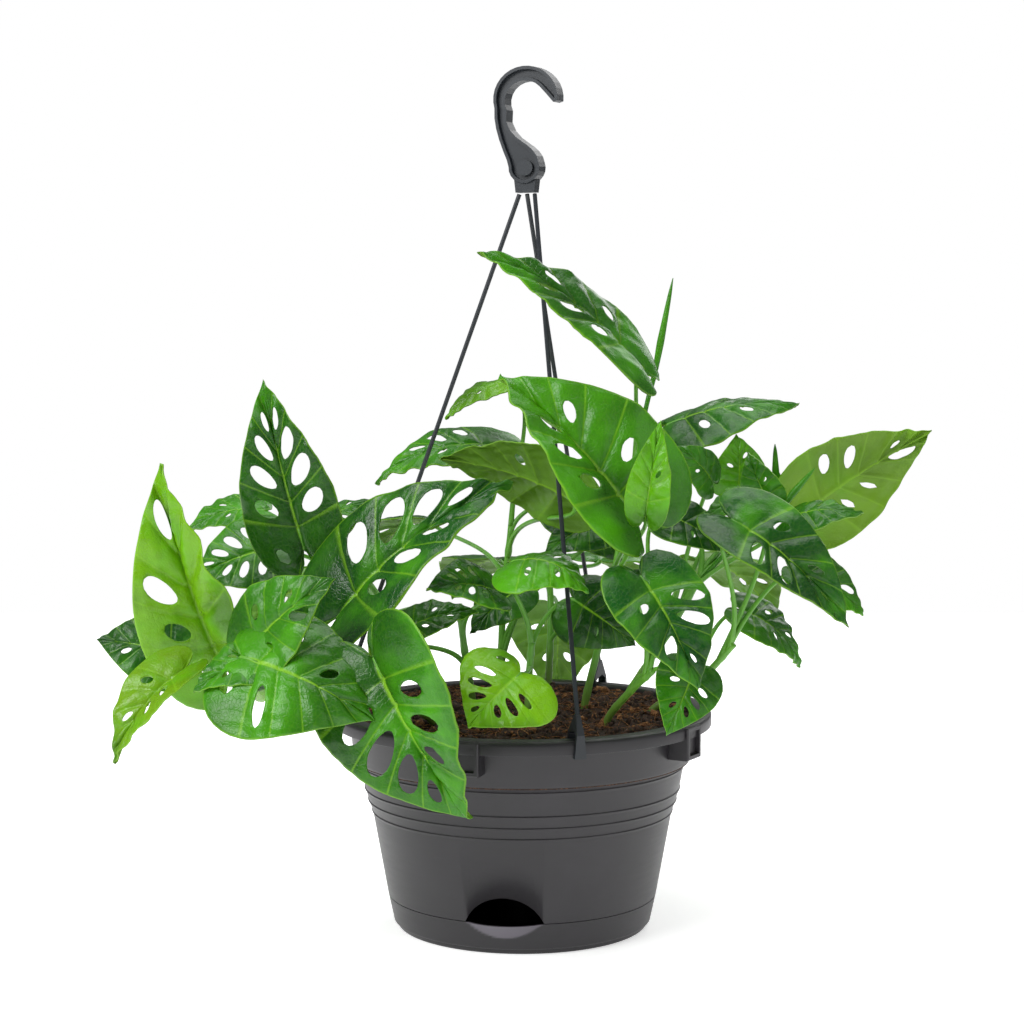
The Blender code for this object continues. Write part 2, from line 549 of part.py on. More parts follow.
def hook_outline():
    """The hook's edge: over the crook, down the back, round the boss and up into the gap."""
    outer = arc_points(CROOK_CENTRE, CROOK_RADIUS, -6, 196, 18)
    spine = [(-21.0, 573.0), (-19.8, 565.6), (-17.6, 557.6), (-14.8, 549.8), (-12.3, 543.6)]
    boss = arc_points(BOSS_CENTRE, BOSS_RADIUS, 176, 380, 12)
    throat = [(8.6, 546.2), (6.0, 550.0), (3.0, 552.9), (-1.2, 556.0), (-6.2, 559.8), (-10.2, 564.6), (-12.8, 570.6)]
    inner = arc_points(CROOK_GAP_CENTRE, CROOK_GAP_RADIUS, 205, 42, 10)
    return outer + spine + boss + throat + inner + [(15.6, 588.2), (20.0, 582.9)]


def hook_place(u, v, depth):
    """From the hook's own plane to the row: widened, turned about Z and moved over the pot."""
    angle = math.radians(HOOK_TURN)
    flat = Vector((u * HOOK_WIDEN, depth, v))
    return Matrix.Rotation(angle, 3, "Z") @ flat + Vector((HOOK_X, 0, 0))


def make_hook(material):
    half = HOOK_THICKNESS / 2
    form = prism(hook_outline(), -half, half, hook_place)
    faces = sorted(form.faces, key=lambda f: -len(f.verts))[:2]
    for face in faces:
        bmesh.ops.recalc_face_normals(form, faces=form.faces)
        inward = -face.normal.copy()
        bmesh.ops.inset_region(form, faces=[face], thickness=HOOK_BORDER, use_even_offset=True)
        bmesh.ops.inset_region(form, faces=[face], thickness=0.3, use_even_offset=True)
        bmesh.ops.translate(form, verts=face.verts, vec=inward * HOOK_RECESS)
    hook = add_object("hook", form, material)
    wide, deep, tall = COLLAR_SIZE
    x, z = BOSS_CENTRE[0], COLLAR_FOOT
    collar = [(x - wide / 2 + 1, z), (x + wide / 2 - 1, z), (x + wide / 2, z + tall), (x - wide / 2, z + tall)]
    block = add_object("collar", prism(collar, -deep / 2, deep / 2, hook_place), material)
    boss = [(BOSS_CENTRE[0] + PAD_RADIUS * math.cos(a), BOSS_CENTRE[1] + PAD_RADIUS * math.sin(a))
            for a in (math.tau * k / 20 for k in range(20))]
    pad = add_object("boss", prism(boss, -half + 1.0, half - 1.0, hook_place), material)
    return combine(hook, [block, pad], "UNION")


def strand_ends(key):
    """The top of a strand under the hook's collar, and its foot above the rim."""
    order = {"left": -1, "back": 0, "front": 1}[key]
    x = BOSS_CENTRE[0] + order * STRAND_SPACING / HOOK_WIDEN
    top = hook_place(x, COLLAR_FOOT - FIT_GAP - 0.7, 0.0)
    foot = radial(STRAND_AZIMUTHS[key])(RIM_RADIUS - 4.5, CLIP_TOP, 0.0)
    return top, foot


def make_strand(key, material):
    """A strand and its clip, an upturned U that straddles the rim and hooks under the lip."""
    top, foot = strand_ends(key)
    along = (foot - top).normalized()
    rod = tube([top, top + along * 120, foot - along * 60, foot + along * 5], [STRAND_RADIUS] * 4, 8)
    strand = add_object("strand_" + key, rod, material)
    place = radial(STRAND_AZIMUTHS[key])
    out = RIM_RADIUS + FIT_GAP
    mouth = RIM_MOUTH_RADIUS - 4 * FIT_GAP
    under = RIM_TOP - LIP_HEIGHT - FIT_GAP
    outline = [(RIM_RADIUS - 6.6, CLIP_TOP + 1), (RIM_RADIUS - 2.6, CLIP_TOP + 1), (out + 2.6, CLIP_TOP - 12),
               (out + 2.6, under - 1.8), (out - 2.2, under - 1.8), (out - 2.2, under), (out + 0.2, under),
               (out + 0.2, RIM_TOP + 3.0), (RIM_RADIUS - 4.0, RIM_TOP + 6.0), (RIM_RADIUS - 9.0, RIM_TOP + 5.0),
               (mouth, RIM_TOP + 3.0), (mouth - 0.4, RIM_TOP - 3.5), (mouth - 2.6, RIM_TOP - 3.5),
               (mouth - 2.2, RIM_TOP + 5.0)]
    clip = add_object("clip", prism(outline, -CLIP_WIDTH / 2, CLIP_WIDTH / 2, place), material)
    for vertex in clip.data.vertices:
        # The clip narrows towards the strand, and spreads over the lip.
        share = min(1.0, max(0.0, (vertex.co.z / MM - under) / (CLIP_TOP - under)))
        middle = place(0, 0, 0)
        across = vertex.co.dot(place(0, 0, 1) - middle)
        vertex.co -= (place(0, 0, 1) - middle) * across * (0.66 * share - 0.04)
    return combine(strand, [clip], "UNION")


def outline_curve(count):
    """Points along the half outline, evenly spread, on a smooth curve through its points."""
    ends = [HALF_OUTLINE[0]] + list(HALF_OUTLINE) + [HALF_OUTLINE[-1]]
    last = len(HALF_OUTLINE) - 1
    found = []
    for i in range(count + 1):
        position = i / count * last
        k = min(int(position), last - 1)
        t = position - k
        points = [Vector(p) for p in ends[k:k + 4]]
        found.append(0.5 * (2 * points[1] + (points[2] - points[0]) * t
                            + (2 * points[0] - 5 * points[1] + 4 * points[2] - points[3]) * t * t
                            + (3 * points[1] - points[0] - 3 * points[2] + points[3]) * t**3))
    return found


FINE_OUTLINE = outline_curve(200)


def margin(share):
    """The point of the half outline at a share of its run, from the seat round the lobe to the tip."""
    return FINE_OUTLINE[min(200, max(0, round(share * 200)))]


def vein_end(root):
    """Where on the margin the side vein that leaves the midrib at root ends, as a share of its run."""
    return 0.0 if root <= 0 else LOBE_SHARE + (1 - LOBE_SHARE) * root**0.9


def cell_point(cell, across, level):
    """A point between two side veins: across runs from midrib to margin, level from -1 to 1 between."""
    ends = []
    for root in VEIN_ROOTS[cell:cell + 2]:
        share = vein_end(root) if root > 0 else 0.16
        ends.append(Vector((root, 0.0)).lerp(margin(share), across))
    return ends[0].lerp(ends[1], (level + 1) / 2)


def hole_outlines(half, side):
    """The flat outlines of the holes in one half of a blade; side is 1 to the left and -1 to the right."""
    found = []
    for cell, start, end, share in half:
        middle, reach = (start + end) / 2, (end - start) / 2
        turns = [math.tau * k / HOLE_POINTS for k in range(HOLE_POINTS)]
        points = [cell_point(cell, middle + reach * math.cos(a), share * math.sin(a)) for a in turns]
        found.append([Vector((p.x, side * p.y)) for p in points])
    return found


def inside(point, polygon):
    """Whether a flat point lies within a polygon, by counting crossings."""
    found = False
    for a, b in zip(polygon, polygon[1:] + polygon[:1]):
        if (a.y > point.y) != (b.y > point.y):
            if point.x < a.x + (point.y - a.y) / (b.y - a.y) * (b.x - a.x):
                found = not found
    return found


def blade_frame(spec):
    """Length, chord, upward and left directions of a blade."""
    chord = spec["tip"] - spec["seat"]
    length = chord.length
    ahead = chord.normalized()
    up = (spec["face"] - ahead * spec["face"].dot(ahead)).normalized()
    return length, ahead, up, up.cross(ahead)


def blade_point(spec, along, across):
    """Bends the flat blade: an arched midrib, halves lifted by the fold and rolled down at the edge,
    and a twist that grows towards the tip."""
    length, ahead, up, left = blade_frame(spec)
    arch = 4 * spec["arch"]
    height = arch * along * (1 - along) if along > 0 else arch * along
    slope = arch * (1 - 2 * along) if along > 0 else arch
    tangent = (ahead + up * slope).normalized()
    normal = tangent.cross(left)
    turn = spec["twist"] * max(0.0, along)
    side = left * math.cos(turn) + normal * math.sin(turn)
    normal = normal * math.cos(turn) - left * math.sin(turn)
    reach = across * spec["wide"]
    lift = abs(reach) * math.sin(spec["fold"]) - 0.32 * reach * reach
    middle = spec["seat"] + (ahead * along + up * height) * length
    return middle + (side * reach * math.cos(spec["fold"]) + normal * lift) * length


def blade_sheet(spec):
    """The blade's flat triangles: points (along, across), and faces that leave the holes open."""
    half = outline_curve(OUTLINE_POINTS)
    outline = half + [Vector((p.x, -p.y)) for p in half[-2:0:-1]]
    holes = hole_outlines(HOLES[spec["holes"][0]], 1) + hole_outlines(HOLES[spec["holes"][1]], -1)
    points = list(outline)
    edges = [(i, (i + 1) % len(outline)) for i in range(len(outline))]
    for hole in holes:
        first = len(points)
        points += hole
        edges += [(first + i, first + (i + 1) % len(hole)) for i in range(len(hole))]
    ribs = [len(points) + i for i in range(4)]
    points += [Vector((along, 0.0)) for along in (0.2, 0.4, 0.6, 0.8)]
    edges += list(zip([0] + ribs, ribs + [OUTLINE_POINTS]))
    verts, _, faces, _, _, _ = delaunay_2d_cdt(points, edges, [], 0, 1e-6)
    kept = []
    for face in faces:
        middle = sum((verts[i] for i in face), Vector((0, 0))) / 3
        if inside(middle, outline) and not any(inside(middle, hole) for hole in holes):
            kept.append(face)
    return verts, kept


def make_blade(spec, material):
    """A blade of even thickness: the same triangles on both sides, and walls round every edge."""
    flat, faces = blade_sheet(spec)
    step = 1e-3
    form = bmesh.new()
    shells = ([], [])
    for point in flat:
        here = blade_point(spec, point.x, point.y)
        ahead = blade_point(spec, point.x + step, point.y) - here
        aside = blade_point(spec, point.x, point.y + step) - here
        normal = aside.cross(ahead).normalized() * -1
        shells[0].append(form.verts.new(here + normal * BLADE_THICKNESS / 2))
        shells[1].append(form.verts.new(here - normal * BLADE_THICKNESS / 2))
    borders = {}
    for face in faces:
        form.faces.new([shells[0][i] for i in face])
        form.faces.new([shells[1][i] for i in reversed(face)])
        for pair in zip(face, face[1:] + face[:1]):
            borders[pair] = True
    for a, b in borders:
        if (b, a) not in borders:
            form.faces.new((shells[0][b], shells[0][a], shells[1][a], shells[1][b]))
    loose = [v for v in form.verts if not v.link_faces]
    bmesh.ops.delete(form, geom=loose, context="VERTS")
    return add_object("blade", form, material)


def stem_path(name):
    """The stem's points, from its foot in the soil upwards."""
    (x, y), bends = STEMS[name]
    foot = Vector((x, y, soil_height(x, y) - STEM_HOLE_DEPTH + 3.0))
    start = Vector((x, y, soil_height(x, y) + 2.0))
    return [foot, start] + [Vector(p) for p in bends]


def on_path(path, share):
    """A point at a share of a path's length."""
    lengths = [(b - a).length for a, b in zip(path, path[1:])]
    left = share * sum(lengths)
    for (a, b), length in zip(zip(path, path[1:]), lengths):
        if left <= length:
            return a.lerp(b, left / length)
        left -= length
    return path[-1]


def make_stalk(spec, material):
    """The leaf's stalk: from the stem, up and out, into the underside of the blade along its midrib."""
    path = stem_path(spec["stem"])
    start = on_path(path[1:], spec["rise"])
    length, ahead, up, _ = blade_frame(spec)
    reach = (spec["seat"] - start).length
    rising = (path[-1] - path[1]).normalized() * 0.5 + Vector((0, 0, 0.5))
    seat = spec["seat"] - up * 0.8
    arrive = (up * 0.8 + ahead * 0.45).normalized()
    points = bezier(start, start + rising * reach * 0.45, seat - arrive * reach * 0.3, seat, 4)
    points.append(blade_point(spec, 0.12, 0.0) - up * 0.5)
    radii = [PETIOLE_RADIUS * s for s in (1.15, 1.05, 1.0, 0.9, 0.9, 0.5)]
    return add_object("stalk", tube(points, radii, 5), material)


def make_vine(name, material):
    """A rooted stem with its leaves and rolled new leaves, all fused."""
    path = stem_path(name)
    radii = [STEM_RADIUS] * (len(path) - 1) + [STEM_RADIUS * 0.8]
    vine = add_object(name, tube(path, radii, 7), material)
    pieces = []
    for spec in LEAVES:
        if spec["stem"] == name:
            pieces += [make_stalk(spec, material), make_blade(spec, material)]
    for stem, foot, tip in SPIKES:
        if stem == name:
            start = on_path(path[1:], 0.95)
            bend = start.lerp(foot, 0.5) + Vector((0, 0, 4))
            points = [start, bend, foot, foot.lerp(tip, 0.35), foot.lerp(tip, 0.8), tip]
            widths = [PETIOLE_RADIUS] * 2 + [SPIKE_RADIUS * s for s in (0.7, 1.0, 0.55, 0.15)]
            pieces.append(add_object("spike", tube(points, widths, 6), material))
    return combine(vine, pieces, "UNION")


def main():
    clear_scene()
    materials = make_materials()
    make_pot(materials["pot_plastic"])
    make_saucer(materials["pot_plastic"])
    make_soil(materials["soil"])
    make_hook(materials["hanger_plastic"])
    for key in STRAND_AZIMUTHS:
        make_strand(key, materials["hanger_plastic"])
    for name in STEMS:
        make_vine(name, materials["foliage"])


main()
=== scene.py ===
import math

import bmesh
import bpy
import numpy as np
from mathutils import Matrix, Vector


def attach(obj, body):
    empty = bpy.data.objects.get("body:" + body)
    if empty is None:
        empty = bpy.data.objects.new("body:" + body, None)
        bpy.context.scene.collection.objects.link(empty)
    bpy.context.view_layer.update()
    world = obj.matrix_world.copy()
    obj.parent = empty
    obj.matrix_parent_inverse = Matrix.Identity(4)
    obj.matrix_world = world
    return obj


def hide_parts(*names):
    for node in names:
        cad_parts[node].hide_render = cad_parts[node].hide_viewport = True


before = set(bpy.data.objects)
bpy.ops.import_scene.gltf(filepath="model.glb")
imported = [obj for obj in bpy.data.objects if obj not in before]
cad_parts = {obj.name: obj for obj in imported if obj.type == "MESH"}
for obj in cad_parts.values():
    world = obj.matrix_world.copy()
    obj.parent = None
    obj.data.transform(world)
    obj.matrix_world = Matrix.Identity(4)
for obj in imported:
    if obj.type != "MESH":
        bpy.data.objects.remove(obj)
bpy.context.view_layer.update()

# Swiss cheese vine in a black hanging pot. Lengths are millimetres until a mesh is made.

mm = 0.001
rng = np.random.default_rng(7)

view = {"distance": 1660.0, "height": 441.0, "x": -7.4, "pitch": 5.0, "lens": 82.4, "focal": 2344.0}


def at(column, row, depth):
    # The place shown at a column and row of the picture, at a depth in mm behind the pot's axis.
    pitch = math.radians(view["pitch"])
    right = (column - 512.0) / view["focal"]
    up = (512.0 - row) / view["focal"]
    reach = (view["distance"] + depth) / (math.cos(pitch) + up * math.sin(pitch))
    rise = up * math.cos(pitch) - math.sin(pitch)
    return np.array([view["x"] + right * reach, depth, view["height"] + rise * reach])


def unit(v):
    return v / np.maximum(np.linalg.norm(v, axis=-1, keepdims=True), 1e-12)


def wobble(points, size, seed, waves=7):
    # Smooth noise from -1 to 1: a sum of sine waves in random directions, whose length is about size.
    draw = np.random.default_rng(seed)
    total = np.zeros(points.shape[:-1])
    for _ in range(waves):
        way = unit(draw.normal(size=points.shape[-1])) * draw.uniform(0.6, 1.6) * math.tau / size
        total += np.sin(points @ way + draw.uniform(0, math.tau))
    return total / math.sqrt(waves)


def gridFaces(rows, columns, closeRows=False, closeColumns=False):
    # Two triangles for each cell of a grid of points, wrapped round where it closes.
    i = np.arange(rows if closeRows else rows - 1)
    j = np.arange(columns if closeColumns else columns - 1)
    i, j = np.meshgrid(i, j, indexing="ij")
    a = i * columns + j
    b = (i + 1) % rows * columns + j
    c = (i + 1) % rows * columns + (j + 1) % columns
    d = i * columns + (j + 1) % columns
    return np.concatenate([np.stack([a, b, c], -1).reshape(-1, 3), np.stack([a, c, d], -1).reshape(-1, 3)])


def welded(points, faces):
    # Points at one place become one point, and triangles that lose their area are dropped.
    _, first, back = np.unique(np.round(points, 4), axis=0, return_index=True, return_inverse=True)
    faces = back.reshape(-1)[faces]
    whole = (faces[:, 0] != faces[:, 1]) & (faces[:, 1] != faces[:, 2]) & (faces[:, 0] != faces[:, 2])
    return first, faces[whole]


def stacked(parts):
    # Several (points, faces, attributes) lists as one.
    points, faces, kept, count = [], [], {}, 0
    for one in parts:
        points.append(one[0])
        faces.append(one[1] + count)
        count += len(one[0])
        for key, value in one[2].items():
            kept.setdefault(key, []).append(value)
    return np.concatenate(points), np.concatenate(faces), {k: np.concatenate(v) for k, v in kept.items()}


def makePiece(name, points, faces, finishes, slots=None, traits=None, sharp=40):
    # Points in mm and triangles become an object at the origin, with its traits stored on the points.
    mesh = bpy.data.meshes.new(name)
    mesh.vertices.add(len(points))
    mesh.vertices.foreach_set("co", (points * mm).astype(np.float32).ravel())
    mesh.loops.add(faces.size)
    mesh.loops.foreach_set("vertex_index", faces.astype(np.int32).ravel())
    mesh.polygons.add(len(faces))
    mesh.polygons.foreach_set("loop_start", np.arange(0, faces.size, 3, dtype=np.int32))
    for finish in finishes:
        mesh.materials.append(finish)
    if slots is not None:
        mesh.polygons.foreach_set("material_index", slots.astype(np.int32))
    for key, value in (traits or {}).items():
        layer = mesh.attributes.new(key, "FLOAT_VECTOR", "POINT")
        layer.data.foreach_set("vector", value.astype(np.float32).ravel())
    mesh.update(calc_edges=True)
    mesh.validate()
    mesh.shade_smooth()
    if sharp:
        mesh.set_sharp_from_angle(angle=math.radians(sharp))
    piece = bpy.data.objects.new(name, mesh)
    bpy.context.scene.collection.objects.link(piece)
    return piece


def turned(profile, steps, swell=None):
    # A closed outline of (radius, height) carried round the Z axis; swell adds to the radius.
    angle = np.linspace(0, math.tau, steps, endpoint=False)[:, None]
    radius = np.broadcast_to(profile[None, :, 0], (steps, len(profile)))
    height = np.broadcast_to(profile[None, :, 1], (steps, len(profile)))
    if swell is not None:
        radius = radius + swell(np.degrees(angle), profile[None, :, 1])
    grid = np.stack([np.sin(angle) * radius, -np.cos(angle) * radius, height], -1)
    return grid.reshape(-1, 3), gridFaces(steps, len(profile), closeRows=True, closeColumns=True)


def rounded(corners, bend, steps=4):
    # A closed outline with each corner cut back by bend and bridged by a quadratic curve.
    corners = np.array(corners, float)
    bend = np.broadcast_to(np.array(bend, float), len(corners))
    before, after = np.roll(corners, 1, 0), np.roll(corners, -1, 0)
    found = []
    for p, a, b, r in zip(corners, before, after, bend):
        ra = min(r, 0.45 * np.linalg.norm(a - p))
        rb = min(r, 0.45 * np.linalg.norm(b - p))
        if r <= 0 or p[0] <= 1e-6:
            found.append(p[None])
            continue
        s, e = p + unit(a - p) * ra, p + unit(b - p) * rb
        t = np.linspace(0, 1, steps + 1)[:, None]
        found.append(s * (1 - t) ** 2 + p * 2 * t * (1 - t) + e * t**2)
    return np.concatenate(found)


def aroundPath(path, radii, sides):
    # A round section of the given radii carried along a path, with frames that don't spin.
    path = np.array(path)
    ahead = unit(np.gradient(path, axis=0))
    across = np.zeros_like(path)
    last = unit(np.cross(ahead[0], [0.31, 0.9, 0.2]))
    for i, way in enumerate(ahead):
        last = unit(last - way * (last @ way))
        across[i] = last
    other = np.cross(ahead, across)
    turn = np.linspace(0, math.tau, sides, endpoint=False)[None, :, None]
    radii = np.asarray(radii, float)[:, None, None]
    grid = path[:, None] + (across[:, None] * np.cos(turn) + other[:, None] * np.sin(turn)) * radii
    points = np.concatenate([grid.reshape(-1, 3), path[:1], path[-1:]])
    faces = gridFaces(len(path), sides, closeColumns=True)[:, ::-1]
    k = np.arange(sides)
    first, last = len(points) - 2, len(points) - 1
    low = np.stack([np.full(sides, first), k, (k + 1) % sides], -1)[:, ::-1]
    top = (len(path) - 1) * sides
    high = np.stack([np.full(sides, last), top + k, top + (k + 1) % sides], -1)
    return points, np.concatenate([faces, low, high])


def smoothPath(knots, count):
    # A Catmull-Rom curve through the knots.
    knots = np.array(knots, float)
    ends = np.concatenate([2 * knots[:1] - knots[1:2], knots, 2 * knots[-1:] - knots[-2:-1]])
    place = np.linspace(0, len(knots) - 1, count)
    k = np.minimum(place.astype(int), len(knots) - 2)
    t = (place - k)[:, None]
    a, b, c, d = ends[k], ends[k + 1], ends[k + 2], ends[k + 3]
    return 0.5 * (2 * b + (c - a) * t + (2 * a - 5 * b + 4 * c - d) * t**2 + (3 * b - a - 3 * c + d) * t**3)


# Materials. A Field is a socket that can be added, multiplied and so on; a Finish makes one material.

class Field:
    def __init__(self, finish, socket):
        self.finish, self.socket = finish, socket

    def math(self, kind, *others, clamp=False):
        node = self.finish.tree.nodes.new("ShaderNodeMath")
        node.operation, node.use_clamp = kind, clamp
        for place, value in zip(node.inputs, (self, *others)):
            self.finish.wire(value, place)
        return Field(self.finish, node.outputs[0])

    def __add__(self, other):
        return self.math("ADD", other)

    def __sub__(self, other):
        return self.math("SUBTRACT", other)

    def __mul__(self, other):
        return self.math("MULTIPLY", other)

    def __truediv__(self, other):
        return self.math("DIVIDE", other)

    def __pow__(self, other):
        return self.math("POWER", other)

    def ramp(self, low, high):
        # 0 at low, 1 at high, smooth between.
        wires = {0: self, 1: low, 2: high}
        return self.finish.add("ShaderNodeMapRange", wires, interpolation_type="SMOOTHSTEP")


class Finish:
    def __init__(self, name, roughness, **fixed):
        self.material = bpy.data.materials.new(name)
        self.material.use_nodes = True
        self.tree = self.material.node_tree
        self.shader = self.tree.nodes["Principled BSDF"]
        self.shader.inputs["Roughness"].default_value = roughness
        for key, value in fixed.items():
            self.shader.inputs[key.replace("_", " ")].default_value = value
        self.place = Field(self, self.tree.nodes.new("ShaderNodeTexCoord").outputs["Object"])

    def wire(self, value, socket):
        if isinstance(value, Field):
            self.tree.links.new(value.socket, socket)
        elif isinstance(value, tuple) and len(socket.default_value) == 4:
            socket.default_value = (*value, 1.0)
        else:
            socket.default_value = value

    def add(self, kind, wires=None, out=0, **settings):
        node = self.tree.nodes.new(kind)
        for key, value in settings.items():
            setattr(node, key, value)
        for key, value in (wires or {}).items():
            self.wire(value, node.inputs[key])
        return Field(self, node.outputs[out])

    def noise(self, scale, detail=3.0, where=None, rough=0.55):
        wires = {"Vector": where or self.place, "Scale": scale, "Detail": detail, "Roughness": rough}
        return self.add("ShaderNodeTexNoise", wires)

    def cracks(self, scale, where=None):
        return self.add("ShaderNodeTexVoronoi", {"Vector": where or self.place, "Scale": scale},
                        feature="DISTANCE_TO_EDGE")

    def mix(self, share, a, b):
        return self.add("ShaderNodeMix", {0: share, 6: a, 7: b}, out=2, data_type="RGBA")

    def stretched(self, x, y, z):
        return self.add("ShaderNodeMapping", {"Vector": self.place, "Scale": (x, y, z)})

    def trait(self, name):
        vector = self.add("ShaderNodeAttribute", out=1, attribute_name=name)
        split = self.tree.nodes.new("ShaderNodeSeparateXYZ")
        self.wire(vector, split.inputs[0])
        return [Field(self, socket) for socket in split.outputs]

    def colour(self, value):
        self.wire(value, self.shader.inputs["Base Color"])

    def rough(self, value):
        self.wire(value, self.shader.inputs["Roughness"])

    def bump(self, height, strength, distance):
        made = self.add("ShaderNodeBump", {"Height": height, "Strength": strength, "Distance": distance})
        self.wire(made, self.shader.inputs["Normal"])

    def glowThrough(self, share, tint):
        # Part of the light passes the blade, as in a leaf with the sun behind it.
        through = self.tree.nodes.new("ShaderNodeBsdfTranslucent")
        through.inputs["Color"].default_value = (*tint, 1.0)
        blend = self.tree.nodes.new("ShaderNodeMixShader")
        blend.inputs[0].default_value = share
        self.tree.links.new(self.shader.outputs[0], blend.inputs[1])
        self.tree.links.new(through.outputs[0], blend.inputs[2])
        self.tree.links.new(blend.outputs[0], self.tree.nodes["Material Output"].inputs["Surface"])


leafLook = {
    "deep": (0.0015, 0.026, 0.003), "teal": (0.005, 0.105, 0.006), "bright": (0.095, 0.43, 0.0015),
    "yellow": (0.28, 0.52, 0.006), "vein": (0.24, 0.52, 0.02), "under": (0.20, 0.38, 0.02),
    "glow": (0.20, 0.60, 0.004), "through": 0.14,
}


def makeLeafFinish():
    # Colour from each leaf's own tint, paler along the veins and below, with a net of fine veins.
    f = Finish("leafBlade", 0.30, Specular_IOR_Level=0.34)
    cell, across, under = f.trait("leafPlace")
    warm, dark, _ = f.trait("leafTint")
    mottle = f.noise(38.0, 3.0)
    patch = f.noise(11.0, 2.0)
    net = f.cracks(340.0)
    base = f.mix(warm, leafLook["teal"], leafLook["bright"])
    base = f.mix(warm.ramp(0.55, 1.0), base, leafLook["yellow"])
    base = f.mix(dark * 0.85, base, leafLook["deep"])
    base = f.mix(mottle.ramp(0.42, 0.70) * 0.42, base, leafLook["bright"])
    base = f.mix(patch.ramp(0.42, 0.62) * 0.62, base, leafLook["deep"])
    near = cell.math("FRACT")
    near = (near - 0.5).math("ABSOLUTE")
    side = near.ramp(0.455, 0.5) * 0.42
    middle = (across.math("ABSOLUTE")).ramp(0.045, 0.012) * 0.75
    fine = net.ramp(0.10, 0.0) * 0.07
    lines = side.math("MAXIMUM", middle).math("MAXIMUM", fine)
    edge = across.math("ABSOLUTE").ramp(0.965, 1.0) * 0.5
    base = f.mix(lines.math("MAXIMUM", edge), base, leafLook["vein"])
    base = f.mix(under * 0.42, base, leafLook["under"])
    f.colour(base)
    f.rough(mottle * 0.16 + under * 0.20 + 0.20)
    f.bump(net.ramp(0.0, 0.16) * 0.5 + mottle * 0.8, 0.30, 0.0006)
    f.glowThrough(leafLook["through"], leafLook["glow"])
    return f.material


def makeStalkFinish():
    f = Finish("stalk", 0.42)
    streak = f.noise(60.0, 3.0, f.stretched(6.0, 6.0, 0.8))
    height = f.add("ShaderNodeSeparateXYZ", {0: f.place}, out=2)
    green = f.mix(streak, (0.045, 0.20, 0.012), (0.15, 0.42, 0.03))
    f.colour(f.mix(height.ramp(0.20, 0.145) * 0.6, green, (0.16, 0.15, 0.045)))
    f.bump(streak, 0.3, 0.0005)
    return f.material


def makePlasticFinish(name, dark, pale, roughness):
    # Moulded plastic: a fine grain, faint cloudy wear and a little dust, and a painted highlight where a piece
    # stores one.
    f = Finish(name, roughness)
    cloud = f.noise(14.0, 4.0)
    grain = f.noise(1400.0, 2.0)
    scuff = f.noise(40.0, 5.0, f.stretched(1.0, 1.0, 9.0))
    worn = cloud.ramp(0.45, 0.75) * 0.35 + scuff.ramp(0.62, 0.75) * 0.22
    # The first value of the stored trait is a painted highlight: it pushes the colour to a bright pale tone
    # where light would fall.
    f.colour(f.mix(f.trait("worn")[0], f.mix(worn, dark, pale), tuple(3.4 * v for v in pale)))
    f.rough(cloud * 0.14 + scuff * 0.10 + (roughness - 0.10))
    f.bump(grain * 0.6 + cloud, 0.18, 0.0004)
    return f.material


def makeSoilFinish(name, dark, light):
    f = Finish(name, 0.92)
    grain = f.noise(520.0, 4.0)
    patch = f.noise(60.0, 3.0)
    f.colour(f.mix(grain.ramp(0.40, 0.72) * (patch + 0.4), dark, light))
    f.bump(grain, 0.8, 0.0012)
    return f.material


print("materials")
leafFinish = makeLeafFinish()
stalkFinish = makeStalkFinish()
potFinish = makePlasticFinish("potPlastic", (0.0125, 0.0112, 0.0138), (0.030, 0.027, 0.033), 0.42)
hangerFinish = makePlasticFinish("hangerPlastic", (0.014, 0.018, 0.023), (0.040, 0.046, 0.052), 0.38)
soilFinish = makeSoilFinish("soil", (0.020, 0.010, 0.006), (0.10, 0.045, 0.022))
fibreFinish = makeSoilFinish("coirFibre", (0.12, 0.045, 0.014), (0.38, 0.18, 0.065))


def keep(piece, node=None):
    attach(piece, "root")
    if node:
        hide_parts(node)
    return piece


# Pot

pot = {
    "rimRadius": 135.0, "mouthRadius": 121.5, "rimTop": 155.0, "lip": 9.5, "wall": 2.0, "steps": 192,
    "bandTop": 124.0, "bandFoot": (119.0, 120.5),
    "ribs": ((117.5, 115.8), (100.5, 112.6), (92.0, 110.2), (84.0, 107.4)),
    "seam": (96.2, 22.5), "floor": 43.0, "floorThick": 2.5, "well": 22.0,
    "ears": (-17.0, 60.0, 180.0, 232.0),
    "earWidth": 21.0, "earFoot": 131.0, "earFace": 136.6, "earRecess": 3.0,
}
saucer = {"foot": 89.5, "base": (92.2, 4.0), "floor": 3.0, "gap": 0.35, "mouthAngle": -7.7, "mouthHalf": 27.0,
          "mouthRise": 18.7, "reach": 6.6, "drop": 11.0, "steps": 240, "cupFade": 1.6, "cupFoot": 6.0}


def taperRadius(height):
    topHeight, topRadius = pot["ribs"][-1]
    share = (height - pot["seam"][1]) / (topHeight - pot["seam"][1])
    return pot["seam"][0] + share * (topRadius - pot["seam"][0])


def outward(azimuth):
    angle = math.radians(azimuth)
    return np.array([math.sin(angle), -math.cos(angle), 0]), np.array([math.cos(angle), math.sin(angle), 0])


